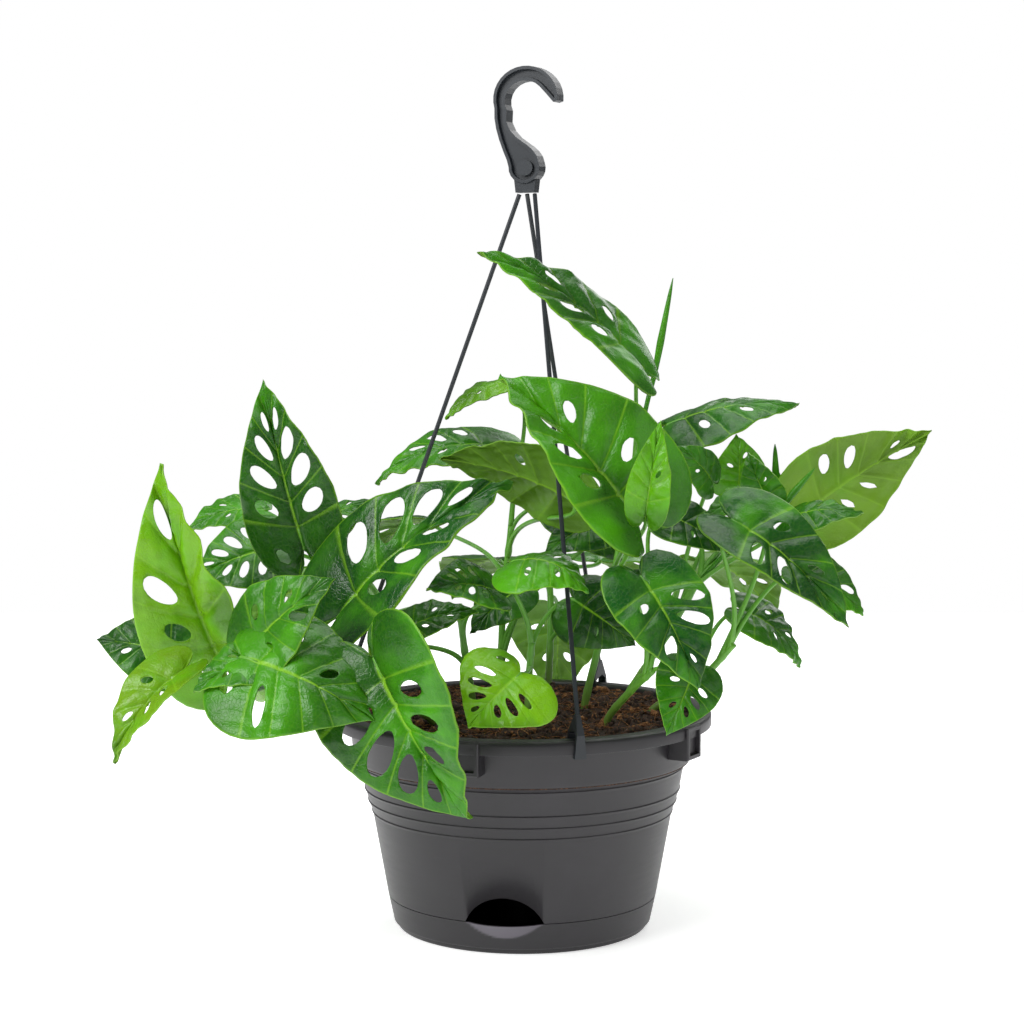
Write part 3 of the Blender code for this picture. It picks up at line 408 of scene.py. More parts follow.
def makePot():
    rim, top, wall = pot["rimRadius"], pot["rimTop"], pot["wall"]
    seat = saucer["floor"] + saucer["gap"]
    floorTop = pot["floor"] + pot["floorThick"]
    corners = [(pot["mouthRadius"] - 0.6, top - 6.0, 1.0), (pot["mouthRadius"], top, 2.0), (rim, top, 3.4),
               (rim, top - pot["lip"], 0.5), (rim - wall, top - pot["lip"], 0.5),
               (rim - wall, top - 4.0, 0.5),
               (pot["bandTop"], top - 4.0, 1.0), (pot["bandFoot"][1], pot["bandFoot"][0] + 2.5, 1.0)]
    for height, radius in pot["ribs"]:
        corners += [(radius, height, 0.5), (radius + 0.7, height - 0.7, 0.5),
                    (radius - 0.4, height - 2.2, 0.8)]
    corners += [(*pot["seam"], 0.4), (pot["seam"][0] - wall, pot["seam"][1], 0.3),
                (taperRadius(pot["floor"]) - wall, pot["floor"], 1.0), (pot["well"], pot["floor"], 1.0),
                (pot["well"], seat, 1.0), (0.02, seat, 0.0), (0.02, seat + wall, 0.0),
                (pot["well"] - wall, seat + wall, 1.0), (pot["well"] - wall, floorTop, 1.0),
                (taperRadius(floorTop) - wall, floorTop, 1.0),
                (pot["ribs"][-1][1] - 3.0, pot["ribs"][-1][0], 3.0),
                (pot["bandFoot"][1] - 5.2, pot["bandFoot"][0], 3.0)]
    corners = np.array(corners)
    points, faces = turned(rounded(corners[:, :2], corners[:, 2]), pot["steps"])
    piece = makePiece("growingPot", points, faces, [potFinish], sharp=50)
    cutMouth(piece)
    ears = stacked([(*earSurface(azimuth), {}) for azimuth in pot["ears"]])
    makeEars = makePiece("rimEars", ears[0], ears[1], [potFinish], sharp=25)
    keep(makeEars)
    return keep(piece, "pot")


def earSurface(azimuth):
    # A raised frame: each grid line has a level, and a point's depth follows the lower of its two levels.
    width, foot, top = pot["earWidth"], pot["earFoot"], pot["rimTop"] - 1.2
    face, back = pot["earFace"], pot["rimRadius"] - 14.0
    depth = np.array([back, face - 0.9, face, face, face - pot["earRecess"], face - pot["earRecess"]])
    fringe = np.array([0.0, 0.0, 0.9, 3.0, 3.4])
    levels = np.array([0, 1, 2, 3, 4, 5, 4, 3, 2, 1, 0])
    across = np.concatenate([fringe, [width / 2], width - fringe[::-1]]) - width / 2
    height = np.concatenate([fringe, [(top - foot) / 2], (top - foot) - fringe[::-1]]) + foot
    level = np.minimum(levels[:, None], levels[None, :])
    out, side = outward(azimuth)
    grid = out * depth[level][..., None] + side * across[:, None, None]
    grid = grid + np.array([0, 0, 1]) * height[None, :, None]
    return grid.reshape(-1, 3), gridFaces(len(levels), len(levels))


def cutMouth(piece):
    # A half-moon bar pushed through the wall above the seam.
    half, rise, seam = saucer["mouthHalf"], saucer["mouthRise"], pot["seam"]
    radius = (half**2 + rise**2) / (2 * rise)
    turn = np.linspace(-math.asin(half / radius), math.asin(half / radius), 40)
    across = np.concatenate([radius * np.sin(turn), [half, -half]])
    height = np.concatenate([seam[1] + rise - radius + radius * np.cos(turn), [seam[1] - 3.0] * 2])
    out, side = outward(saucer["mouthAngle"])
    rings = [out * r + side * across[:, None] + np.array([0, 0, 1]) * height[:, None]
             for r in (seam[0] - 14.0, seam[0] + 20.0)]
    count = len(across)
    k = np.arange(1, count - 1)
    caps = np.stack([0 * k, k, k + 1], -1)
    faces = np.concatenate([gridFaces(2, count, closeColumns=True), caps[:, ::-1], caps + count])
    cutter = makePiece("mouthBar", np.concatenate(rings), faces, [potFinish], sharp=None)
    turnOutward(cutter)
    cut = piece.modifiers.new("mouth", "BOOLEAN")
    cut.operation, cut.object, cut.solver = "DIFFERENCE", cutter, "EXACT"
    applyModifiers(piece)
    bpy.data.objects.remove(cutter)


def turnOutward(piece):
    form = bmesh.new()
    form.from_mesh(piece.data)
    bmesh.ops.recalc_face_normals(form, faces=form.faces)
    form.to_mesh(piece.data)
    form.free()


def applyModifiers(piece):
    graph = bpy.context.evaluated_depsgraph_get()
    piece.data = bpy.data.meshes.new_from_object(piece.evaluated_get(graph))
    piece.modifiers.clear()


def spoutSwell(azimuth, height):
    # The wall swells to a cup under the mouth: widest at the top edge and in the middle.
    away = (azimuth - saucer["mouthAngle"] + 180) % 360 - 180
    across = np.radians(away) * pot["seam"][0] / saucer["mouthHalf"]
    down = (pot["seam"][1] - height) / saucer["drop"]
    return saucer["reach"] * np.maximum(0, 1 - across**2 - down)


def makeSaucer():
    top = pot["seam"][1] - saucer["gap"]
    grade = (pot["seam"][0] - saucer["base"][0]) / (pot["seam"][1] - saucer["base"][1])
    heights = np.linspace(saucer["base"][1] + 1.0, top, 14)
    wall = np.stack([saucer["base"][0] + grade * (heights - saucer["base"][1]), heights], -1)
    foot = saucer["foot"]
    outside = np.concatenate([[(0.02, 0), (foot - 4, 0), (foot - 0.6, 0), (foot, 0.6), (foot + 0.4, 3.2),
                               (saucer["base"][0] - 0.5, 3.6), saucer["base"]], wall])
    inside = np.concatenate([(wall - (pot["wall"], 0))[::-1],
                             [(saucer["base"][0] - 3.5, saucer["floor"]), (0.02, saucer["floor"])]])
    profile = np.concatenate([outside, inside])
    points, faces = turned(profile, saucer["steps"], spoutSwell)
    # The cup's surface gets a painted highlight, paler where light from above falls on it, and shows as a half
    # moon.
    angle = np.degrees(np.arctan2(points[:, 0], -points[:, 1]))
    cup = np.minimum(1, spoutSwell(angle, points[:, 2]) * saucer["cupFade"])
    cup = cup * (points[:, 2] > saucer["cupFoot"])
    worn = np.stack([cup, 0 * cup, 0 * cup], -1)
    piece = makePiece("clipSaucer", points, faces, [potFinish], traits={"worn": worn}, sharp=50)
    return keep(piece, "saucer")


print("pot and saucer")
makePot()
makeSaucer()

# Soil

soil = {"edge": 150.0, "crown": 157.0, "bump": 1.6, "reach": 119.6, "foot": 120.0, "rings": 110, "steps": 300,
        "crumbs": 1500, "crumbReach": 117, "fibres": 620, "fibreReach": 112}


def soilHeight(x, y):
    share = np.minimum(1.0, np.hypot(x, y) / pot["mouthRadius"])
    crown = soil["edge"] + (soil["crown"] - soil["edge"]) * (1 - share**3)
    lumps = np.sin(x * 0.11 + 1.3) * np.cos(y * 0.13) + 0.6 * np.sin(x * 0.23 - y * 0.19)
    return crown + soil["bump"] * lumps * (1 - share**6)


def makeSoil():
    # A disc of rings whose height is the crown plus three sizes of wobble; the fine ones are steep crumbs.
    radius = np.concatenate([[0.01], np.linspace(1.2, soil["reach"], soil["rings"])])[:, None]
    angle = np.linspace(0, math.tau, soil["steps"], endpoint=False)[None, :]
    x, y = radius * np.sin(angle), radius * np.cos(angle)
    flat = np.stack([x, y], -1)
    height = soilHeight(x, y) + 1.1 * wobble(flat, 14, 3) + 0.9 * np.abs(wobble(flat, 5.5, 4))
    height = height + 0.45 * wobble(flat, 2.4, 5)
    top = np.stack([x, y, height - 1.0], -1)
    under = top[::-1].copy()
    under[..., 2] = soil["foot"]
    grid = np.concatenate([top, under])
    faces = gridFaces(len(grid), soil["steps"], closeColumns=True)
    piece = makePiece("soilTop", grid.reshape(-1, 3), faces, [soilFinish], sharp=None)
    turnOutward(piece)
    keep(piece, "soil")


def makeCrumbs():
    # Small lumps: a unit octahedron split once, each squashed and turned at random and pushed in by noise.
    base = np.array([[1, 0, 0], [-1, 0, 0], [0, 1, 0], [0, -1, 0], [0, 0, 1], [0, 0, -1]], float)
    tri = np.array([[0, 2, 4], [2, 1, 4], [1, 3, 4], [3, 0, 4], [2, 0, 5], [1, 2, 5], [3, 1, 5], [0, 3, 5]])
    a, b, c = base[tri[:, 0]], base[tri[:, 1]], base[tri[:, 2]]
    ab, bc, ca = unit(a + b), unit(b + c), unit(c + a)
    quarters = ((a, ab, ca), (ab, b, bc), (ca, bc, c), (ab, bc, ca))
    small = np.concatenate([np.stack(corners, 1) for corners in quarters]).reshape(-1, 3)
    _, faces = welded(small, np.arange(len(small)).reshape(-1, 3))
    ball = np.unique(np.round(small, 4), axis=0)
    count = soil["crumbs"]
    reach = np.sqrt(rng.uniform(0, 1, count)) * soil["crumbReach"]
    turn = rng.uniform(0, math.tau, count)
    x, y = reach * np.sin(turn), reach * np.cos(turn)
    size = rng.gamma(2.2, 0.55, count)[:, None, None] + 0.5
    spin = np.linalg.qr(rng.normal(size=(count, 3, 3)))[0]
    shape = ball[None] * rng.uniform(0.7, 1.3, (count, len(ball), 1)) * rng.uniform(0.6, 1.3, (count, 1, 3))
    points = np.einsum("nij,nkj->nki", spin, shape) * size
    points += np.stack([x, y, soilHeight(x, y) + 0.6], -1)[:, None]
    every = (faces[None] + np.arange(count)[:, None, None] * len(ball)).reshape(-1, 3)
    piece = makePiece("soilCrumbs", points.reshape(-1, 3), every, [soilFinish, fibreFinish],
                      slots=np.repeat(rng.uniform(0, 1, count) < 0.22, len(faces)), sharp=None)
    turnOutward(piece)
    keep(piece)


def makeFibres():
    parts = []
    for _ in range(soil["fibres"]):
        reach, turn = math.sqrt(rng.uniform(0, 1)) * soil["fibreReach"], rng.uniform(0, math.tau)
        x, y = reach * math.sin(turn), reach * math.cos(turn)
        way, length = rng.uniform(0, math.tau), rng.uniform(5, 22)
        t = np.linspace(-0.5, 0.5, 7)
        bow = rng.uniform(-0.5, 0.5)
        px = x + length * (t * math.cos(way) - bow * (t**2) * math.sin(way))
        py = y + length * (t * math.sin(way) + bow * (t**2) * math.cos(way))
        inside = np.minimum(1, soil["crumbReach"] / np.maximum(1, np.hypot(px, py)))
        px, py = px * inside, py * inside
        pz = soilHeight(px, py) + 0.9 + rng.uniform(0.2, 2.6) * (0.25 - t**2) * 3 + rng.uniform(-0.5, 1.8) * t
        parts.append((*aroundPath(np.stack([px, py, pz], -1), np.full(7, rng.uniform(0.14, 0.42)), 4), {}))
    points, faces, _ = stacked(parts)
    keep(makePiece("coirFibres", points, faces, [fibreFinish], sharp=None))


print("soil")
makeSoil()
makeCrumbs()
makeFibres()

# Hanger: the moulded nodes keep their form, and get rounded edges and their finish.

for nodeName in ("hook", "strand_left", "strand_back", "strand_front"):
    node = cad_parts[nodeName]
    node.data.materials.clear()
    node.data.materials.append(hangerFinish)
    ease = node.modifiers.new("easedEdges", "BEVEL")
    ease.width, ease.segments, ease.limit_method, ease.angle_limit = 0.0006, 2, "ANGLE", math.radians(40)
    ease.harden_normals = True

# Leaves

leafForm = {
    "outline": (
        (0.0, 0.0), (-0.09, 0.045), (-0.155, 0.13), (-0.14, 0.26), (-0.03, 0.385), (0.15, 0.44),
        (0.36, 0.415), (0.56, 0.325), (0.74, 0.205), (0.88, 0.095), (0.955, 0.03), (1.0, 0.0),
    ),
    "veinRoots": (0.0, 0.0, 0.13, 0.28, 0.43, 0.58, 0.74, 1.0), "rowsPerCell": 10, "columns": 22, "spread": 0.72,
    "thick": 0.8, "quilt": 2.3, "groove": 1.1, "pucker": 0.35, "wave": 0.016,
}
leafForm["veinEnds"] = (0.0, 0.16) + tuple(0.40 + 0.60 * r**0.9 for r in leafForm["veinRoots"][2:])

holeSets = {
    "none": (),
    "slit": ((2, 0.30, 0.62, 0.35),),
    "few": ((1, 0.30, 0.60, 0.42), (3, 0.26, 0.62, 0.45)),
    "some": ((1, 0.30, 0.66, 0.48), (2, 0.24, 0.74, 0.52), (3, 0.26, 0.70, 0.50)),
    "many": ((0, 0.42, 0.66, 0.30), (1, 0.28, 0.72, 0.55), (2, 0.22, 0.80, 0.58), (3, 0.22, 0.78, 0.58),
             (4, 0.28, 0.70, 0.50)),
    "wide": ((1, 0.26, 0.78, 0.62), (2, 0.22, 0.86, 0.70), (3, 0.22, 0.84, 0.72), (4, 0.30, 0.76, 0.60)),
    "tall": ((0, 0.16, 0.40, 0.40), (1, 0.24, 0.60, 0.50), (2, 0.30, 0.84, 0.60), (4, 0.18, 0.84, 0.85)),
    "big_one": ((1, 0.30, 0.56, 0.40), (3, 0.24, 0.84, 0.85)),
    "two_long": ((0, 0.36, 0.64, 0.40), (1, 0.30, 0.86, 0.42)),
    "long_two": ((1, 0.26, 0.90, 0.50), (2, 0.22, 0.92, 0.55), (4, 0.30, 0.60, 0.35)),
    "tip_big": ((1, 0.28, 0.60, 0.26), (2, 0.28, 0.66, 0.26), (4, 0.14, 0.82, 0.90)),
    "three_slim": ((1, 0.36, 0.76, 0.42), (2, 0.24, 0.74, 0.45), (4, 0.26, 0.56, 0.36)),
}

stems = {
    "vine_far_left": ((-82, -14), ((-104, -20, 175), (-134, -30, 188))),
    "vine_front_left": ((-62, -62), ((-80, -86, 172), (-108, -104, 186))),
    "vine_high_left": ((-58, 22), ((-84, 16, 196), (-104, 4, 232))),
    "vine_centre_left": ((-34, -34), ((-40, -44, 200), (-44, -50, 236))),
    "vine_centre": ((4, -74), ((4, -78, 186), (6, -82, 214))),
    "vine_top": ((44, -14), ((58, -16, 220), (74, -10, 300), (84, 0, 350))),
    "vine_back_middle": ((-16, 50), ((-14, 58, 220), (-8, 62, 280))),
    "vine_high_right": ((76, 38), ((104, 34, 200), (128, 28, 244))),
    "vine_front_right": ((58, -62), ((72, -76, 178), (88, -90, 196))),
    "vine_low_right": ((92, -16), ((122, -24, 176), (148, -34, 206))),
    "vine_back": ((20, 84), ((22, 100, 210), (20, 112, 250))),
}


def leaf(stem, seat, tip, face, wide=1.0, arch=0.1, fold=10.0, twist=0.0, holes=("some", "some"), rise=0.5,
         tint=(0.4, 0.5)):
    return {
        "stem": stem, "seat": at(*seat), "tip": at(*tip), "face": np.array(face, float), "wide": wide,
        "arch": arch, "fold": math.radians(fold), "twist": math.radians(twist), "holes": holes, "rise": rise,
        "tint": tint,
    }


# Each leaf: stem, seat and tip as (column, row, depth), facing, then width, arch, fold, twist, holes, the
# stalk's start up the stem, and tint as (yellow, dark).
leaves = (
    leaf("vine_far_left", (226, 668, -50), (160, 463, -88), (-0.35, -0.93, 0.10),
         0.72, 0.08, 34, 0, ("tall", "none"), 0.9, (0.78, 0.22)),
    leaf("vine_far_left", (182, 655, -14), (97, 640, -6), (-0.1, -0.8, 0.5),
         1.1, 0.08, 6, 0, ("few", "slit"), 0.7, (0.1, 0.7)),
    leaf("vine_far_left", (184, 670, -96), (115, 764, -118), (-0.62, -0.70, 0.35),
         0.78, 0.12, 26, 0, ("some", "few"), 0.6, (0.88, 0.45)),
    leaf("vine_front_left", (248, 652, -130), (335, 578, -154), (-0.2, -0.8, 0.55),
         0.98, 0.08, 10, 0, ("few", "big_one"), 0.9, (0.42, 0.3)),
    leaf("vine_front_left", (276, 656, -140), (193, 692, -156), (-0.1, -0.55, 0.83),
         0.95, 0.10, 8, 0, ("few", "slit"), 0.8, (0.35, 0.4)),
    leaf("vine_front_left", (242, 657, -150), (374, 721, -172), (0.0, -0.80, 0.60),
         1.18, 0.12, -4, 0, ("few", "two_long"), 0.7, (0.55, 0.12)),
    leaf("vine_front_left", (373, 657, -158), (471, 820, -182), (-0.62, -0.75, 0.22),
         1.08, 0.07, 24, 0, ("some", "wide"), 0.5, (0.4, 0.35)),
    leaf("vine_high_left", (304, 548, -34), (263, 379, -44), (-0.20, -0.95, 0.12),
         0.68, 0.06, 14, 0, ("many", "wide"), 0.9, (0.35, 0.45)),
    leaf("vine_high_left", (312, 532, 6), (380, 501, 22), (0.0, -0.42, 0.9),
         0.9, 0.12, -10, 0, ("few", "slit"), 0.9, (0.3, 0.5)),
    leaf("vine_high_left", (262, 510, 40), (186, 534, 26), (0.1, -0.4, 0.9),
         0.9, 0.14, 4, 0, ("slit", "slit"), 0.8, (0.45, 0.35)),
    leaf("vine_high_left", (282, 546, -2), (190, 580, -16), (0.0, -0.75, 0.65),
         1.12, 0.08, 6, 0, ("some", "many"), 0.7, (0.3, 0.55)),
    leaf("vine_centre_left", (338, 617, -80), (514, 483, -92), (-0.18, -0.62, 0.76),
         0.80, 0.10, 20, 0, ("wide", "some"), 0.8, (0.05, 0.6)),
    leaf("vine_centre_left", (493, 590, -92), (426, 590, -120), (-0.1, -0.66, 0.74),
         1.12, 0.1, 12, 0, ("some", "some"), 0.7, (0.05, 0.6)),
    leaf("vine_centre_left", (404, 630, -92), (479, 612, -84), (0.0, -0.5, 0.85),
         0.8, 0.1, 8, 0, ("slit", "few"), 0.3, (0.35, 0.5)),
    leaf("vine_back_middle", (502, 447, 66), (375, 484, 58), (-0.1, -0.42, 0.9),
         0.75, 0.14, 8, 0, ("slit", "some"), 0.9, (0.42, 0.35)),
    leaf("vine_centre", (520, 674, -150), (468, 728, -170), (-0.05, -0.80, 0.58),
         1.68, 0.08, 6, 0, ("some", "many"), 0.3, (0.78, 0.05)),
    leaf("vine_centre", (514, 561, -122), (588, 594, -140), (0.1, -0.42, 0.9),
         1.3, 0.2, -8, 0, ("slit", "few"), 0.9, (0.6, 0.05)),
    leaf("vine_centre", (574, 600, -66), (636, 646, -62), (-0.1, -0.9, 0.4),
         1.15, 0.1, -6, 0, ("none", "slit"), 0.8, (0.1, 0.85)),
    leaf("vine_top", (634, 516, -104), (499, 376, -84), (0.44, -0.78, 0.45),
         1.0, 0.07, 30, 0, ("some", "few"), 0.35, (0.58, 0.12)),
    leaf("vine_top", (638, 363, -62), (477, 252, -74), (-0.1, -0.42, 0.9),
         0.5, 0.08, 6, -14, ("some", "few"), 0.85, (0.42, 0.3)),
    leaf("vine_top", (646, 514, -134), (661, 420, -140), (-0.2, -0.95, 0.1),
         0.56, 0.06, 14, 0, ("none", "slit"), 0.2, (0.68, 0.1)),
    leaf("vine_back_middle", (575, 501, -20), (438, 458, -6), (0.05, 0.75, 0.65),
         0.8, 0.08, 8, 0, ("slit", "none"), 0.8, (0.6, 0.5)),
    leaf("vine_back_middle", (508, 382, 60), (446, 420, 48), (-0.3, -0.3, 0.9),
         0.8, 0.12, 0, 0, ("slit", "none"), 1.0, (0.75, 0.25)),
    leaf("vine_back_middle", (606, 520, 36), (545, 552, 26), (-0.1, -0.8, 0.55),
         1.0, 0.1, 6, 0, ("none", "slit"), 0.2, (0.15, 0.85)),
    leaf("vine_back_middle", (520, 588, 30), (470, 634, 18), (-0.2, -0.8, 0.5),
         0.95, 0.1, 6, 0, ("slit", "none"), 0.1, (0.25, 0.8)),
    leaf("vine_high_right", (668, 424, 34), (799, 406, 26), (0.0, -0.36, 0.93),
         0.9, 0.08, -12, 0, ("slit", "few"), 1.0, (0.15, 0.5)),
    leaf("vine_high_right", (804, 512, 34), (932, 431, 20), (-0.1, 0.93, 0.35),
         0.84, 0.05, 4, 0, ("tip_big", "three_slim"), 0.8, (0.85, 0.42)),
    leaf("vine_front_right", (641, 577, -138), (698, 691, -160), (0.4, -0.8, 0.42),
         1.06, 0.08, 14, 0, ("long_two", "big_one"), 0.8, (0.0, 0.42)),
    leaf("vine_front_right", (694, 670, -122), (666, 736, -146), (0.1, -0.95, 0.22),
         1.05, 0.08, 6, 0, ("some", "few"), 0.5, (0.35, 0.45)),
    leaf("vine_front_right", (664, 514, -40), (729, 554, -42), (0.3, -0.75, 0.6),
         0.9, 0.1, 6, 0, ("none", "slit"), 0.9, (0.12, 0.85)),
    leaf("vine_low_right", (732, 520, -88), (848, 628, -112), (0.25, -0.72, 0.64),
         0.74, 0.1, 18, 0, ("few", "long_two"), 0.9, (0.08, 0.6)),
    leaf("vine_low_right", (800, 568, -34), (864, 616, -44), (0.3, -0.75, 0.58),
         0.85, 0.1, 8, 0, ("big_one", "slit"), 0.9, (0.55, 0.5)),
    leaf("vine_high_right", (786, 519, -12), (863, 515, -30), (0.0, -0.55, 0.82),
         0.8, 0.12, -10, 0, ("slit", "none"), 0.6, (0.3, 0.5)),
    leaf("vine_low_right", (762, 502, -48), (704, 516, -60), (0.0, -0.62, 0.78),
         0.9, 0.12, 6, 0, ("slit", "few"), 0.8, (0.2, 0.6)),
    leaf("vine_high_right", (712, 482, -26), (674, 446, -40), (0.0, -0.8, 0.6),
         0.95, 0.12, 6, 0, ("slit", "none"), 0.5, (0.35, 0.35)),
    leaf("vine_high_right", (738, 488, 10), (736, 434, 8), (0.3, -0.9, 0.2),
         1.3, 0.1, 4, 0, ("slit", "few"), 0.7, (0.65, 0.15)),
    leaf("vine_high_right", (768, 500, -4), (748, 452, -8), (-0.4, -0.8, 0.4),
         1.0, 0.14, 20, 0, ("none", "slit"), 0.8, (0.4, 0.4)),
    leaf("vine_back", (612, 470, 96), (560, 430, 128), (-0.1, 0.5, 0.85),
         0.95, 0.1, 8, 0, ("few", "few"), 1.0, (0.4, 0.3)),
    leaf("vine_back", (600, 560, 128), (640, 590, 196), (0.3, 0.6, 0.7),
         1.0, 0.14, 8, 0, ("few", "few"), 0.8, (0.5, 0.25)),
    leaf("vine_back", (500, 560, 132), (452, 600, 192), (-0.3, 0.65, 0.65),
         1.05, 0.14, 8, 0, ("few", "few"), 0.7, (0.2, 0.5)),
    leaf("vine_back", (560, 610, 150), (556, 700, 196), (0.0, 0.9, 0.4),
         1.0, 0.1, 8, 0, ("few", "few"), 0.6, (0.45, 0.3)),
    leaf("vine_high_right", (700, 560, 96), (776, 620, 150), (0.5, 0.6, 0.6),
         1.0, 0.12, 8, 0, ("few", "few"), 0.3, (0.3, 0.4)),
    leaf("vine_high_left", (330, 575, 72), (250, 640, 120), (-0.5, 0.6, 0.6),
         1.0, 0.12, 8, 0, ("few", "few"), 0.4, (0.55, 0.2)),
    leaf("vine_back_middle", (430, 520, 96), (372, 560, 150), (-0.3, 0.5, 0.8),
         0.95, 0.12, 8, 0, ("few", "slit"), 0.6, (0.25, 0.5)),
    leaf("vine_low_right", (742, 610, 10), (800, 668, 16), (0.55, -0.5, 0.65),
         0.95, 0.14, 6, 0, ("few", "slit"), 0.4, (0.4, 0.3)),
    leaf("vine_back_middle", (562, 500, 52), (622, 564, 46), (-0.1, -0.62, 0.78),
         1.0, 0.1, 6, 0, ("none", "slit"), 0.92, (0.15, 0.8)),
    leaf("vine_back", (596, 618, 70), (652, 570, 60), (0.0, -0.7, 0.7),
         0.95, 0.1, 6, 0, ("none", "slit"), 0.3, (0.1, 0.85)),
)

spikes = (
    ("vine_top", at(654, 376, 2), at(673, 278, 4)),
    ("vine_high_right", at(776, 486, 30), at(775, 444, 32)),
    ("vine_high_right", at(782, 506, 6), at(815, 468, 10)),
)


def marginCurve(count=400):
    return smoothPath(leafForm["outline"], count + 1)


fineMargin = marginCurve()


def flatPlace(cell, across):
    # A point of the flat blade, in lengths of the blade: on the straight line from the side vein's root on
    # the midrib to its end on the margin. cell counts the side veins from -1 at the seat to 6 at the tip.
    knots = np.arange(-1, 7)
    root = np.interp(cell, knots, leafForm["veinRoots"])
    end = np.interp(cell, knots, leafForm["veinEnds"]) * (len(fineMargin) - 1)
    low = np.minimum(end.astype(int), len(fineMargin) - 2)
    share = (end - low)[..., None]
    edge = fineMargin[low] * (1 - share) + fineMargin[low + 1] * share
    reach = np.abs(across)
    along = root + (edge[..., 0] - root) * reach
    return along, edge[..., 1] * across


def bladePlace(spec, along, across):
    # Bends the flat blade: an arched midrib, halves lifted by the fold and rolled down at the edge, and a
    # twist that grows towards the tip.
    chord = spec["tip"] - spec["seat"]
    length = np.linalg.norm(chord)
    ahead = chord / length
    up = unit(spec["face"] - ahead * (spec["face"] @ ahead))
    left = np.cross(up, ahead)
    arch = 4 * spec["arch"]
    height = np.where(along > 0, arch * along * (1 - along), arch * along)[..., None]
    slope = np.where(along > 0, arch * (1 - 2 * along), arch)[..., None]
    tangent = unit(ahead + up * slope)
    normal = np.cross(tangent, left)
    turn = (spec["twist"] * np.maximum(0, along))[..., None]
    side = left * np.cos(turn) + normal * np.sin(turn)
    normal = normal * np.cos(turn) - left * np.sin(turn)
    reach = (across * spec["wide"])[..., None]
    lift = np.abs(reach) * math.sin(spec["fold"]) - 0.32 * reach**2
    middle = spec["seat"] + (ahead * along[..., None] + up * height) * length
    return middle + (side * reach * math.cos(spec["fold"]) + normal * lift) * length


def openHoles(spec, cell, across):
    # Points inside a hole that have a neighbour outside move out to its rim; the rest are left for removal.
    nearest = np.full(cell.shape, 9.0)
    newCell, newAcross = cell.copy(), across.copy()
    for sign, name in zip((1, -1), spec["holes"]):
        for number, start, end, share in holeSets[name]:
            middleCell, middleAcross = number + 0.5, sign * (start + end) / 2
            away = np.hypot((cell - middleCell) / (share / 2), (across - middleAcross) / ((end - start) / 2))
            scale = 1 / np.maximum(away, 0.05)
            hit = away < 1
            newCell = np.where(hit, middleCell + (cell - middleCell) * scale, newCell)
            newAcross = np.where(hit, middleAcross + (across - middleAcross) * scale, newAcross)
            nearest = np.minimum(nearest, away)
    inside = nearest < 1
    wide = np.pad(~inside, 1, constant_values=False)
    rows, columns = cell.shape
    touched = np.zeros_like(inside)
    for di in (0, 1, 2):
        for dj in (0, 1, 2):
            touched |= wide[di:di + rows, dj:dj + columns]
    rim = inside & touched
    return np.where(rim, newCell, cell), np.where(rim, newAcross, across), inside, inside & ~touched


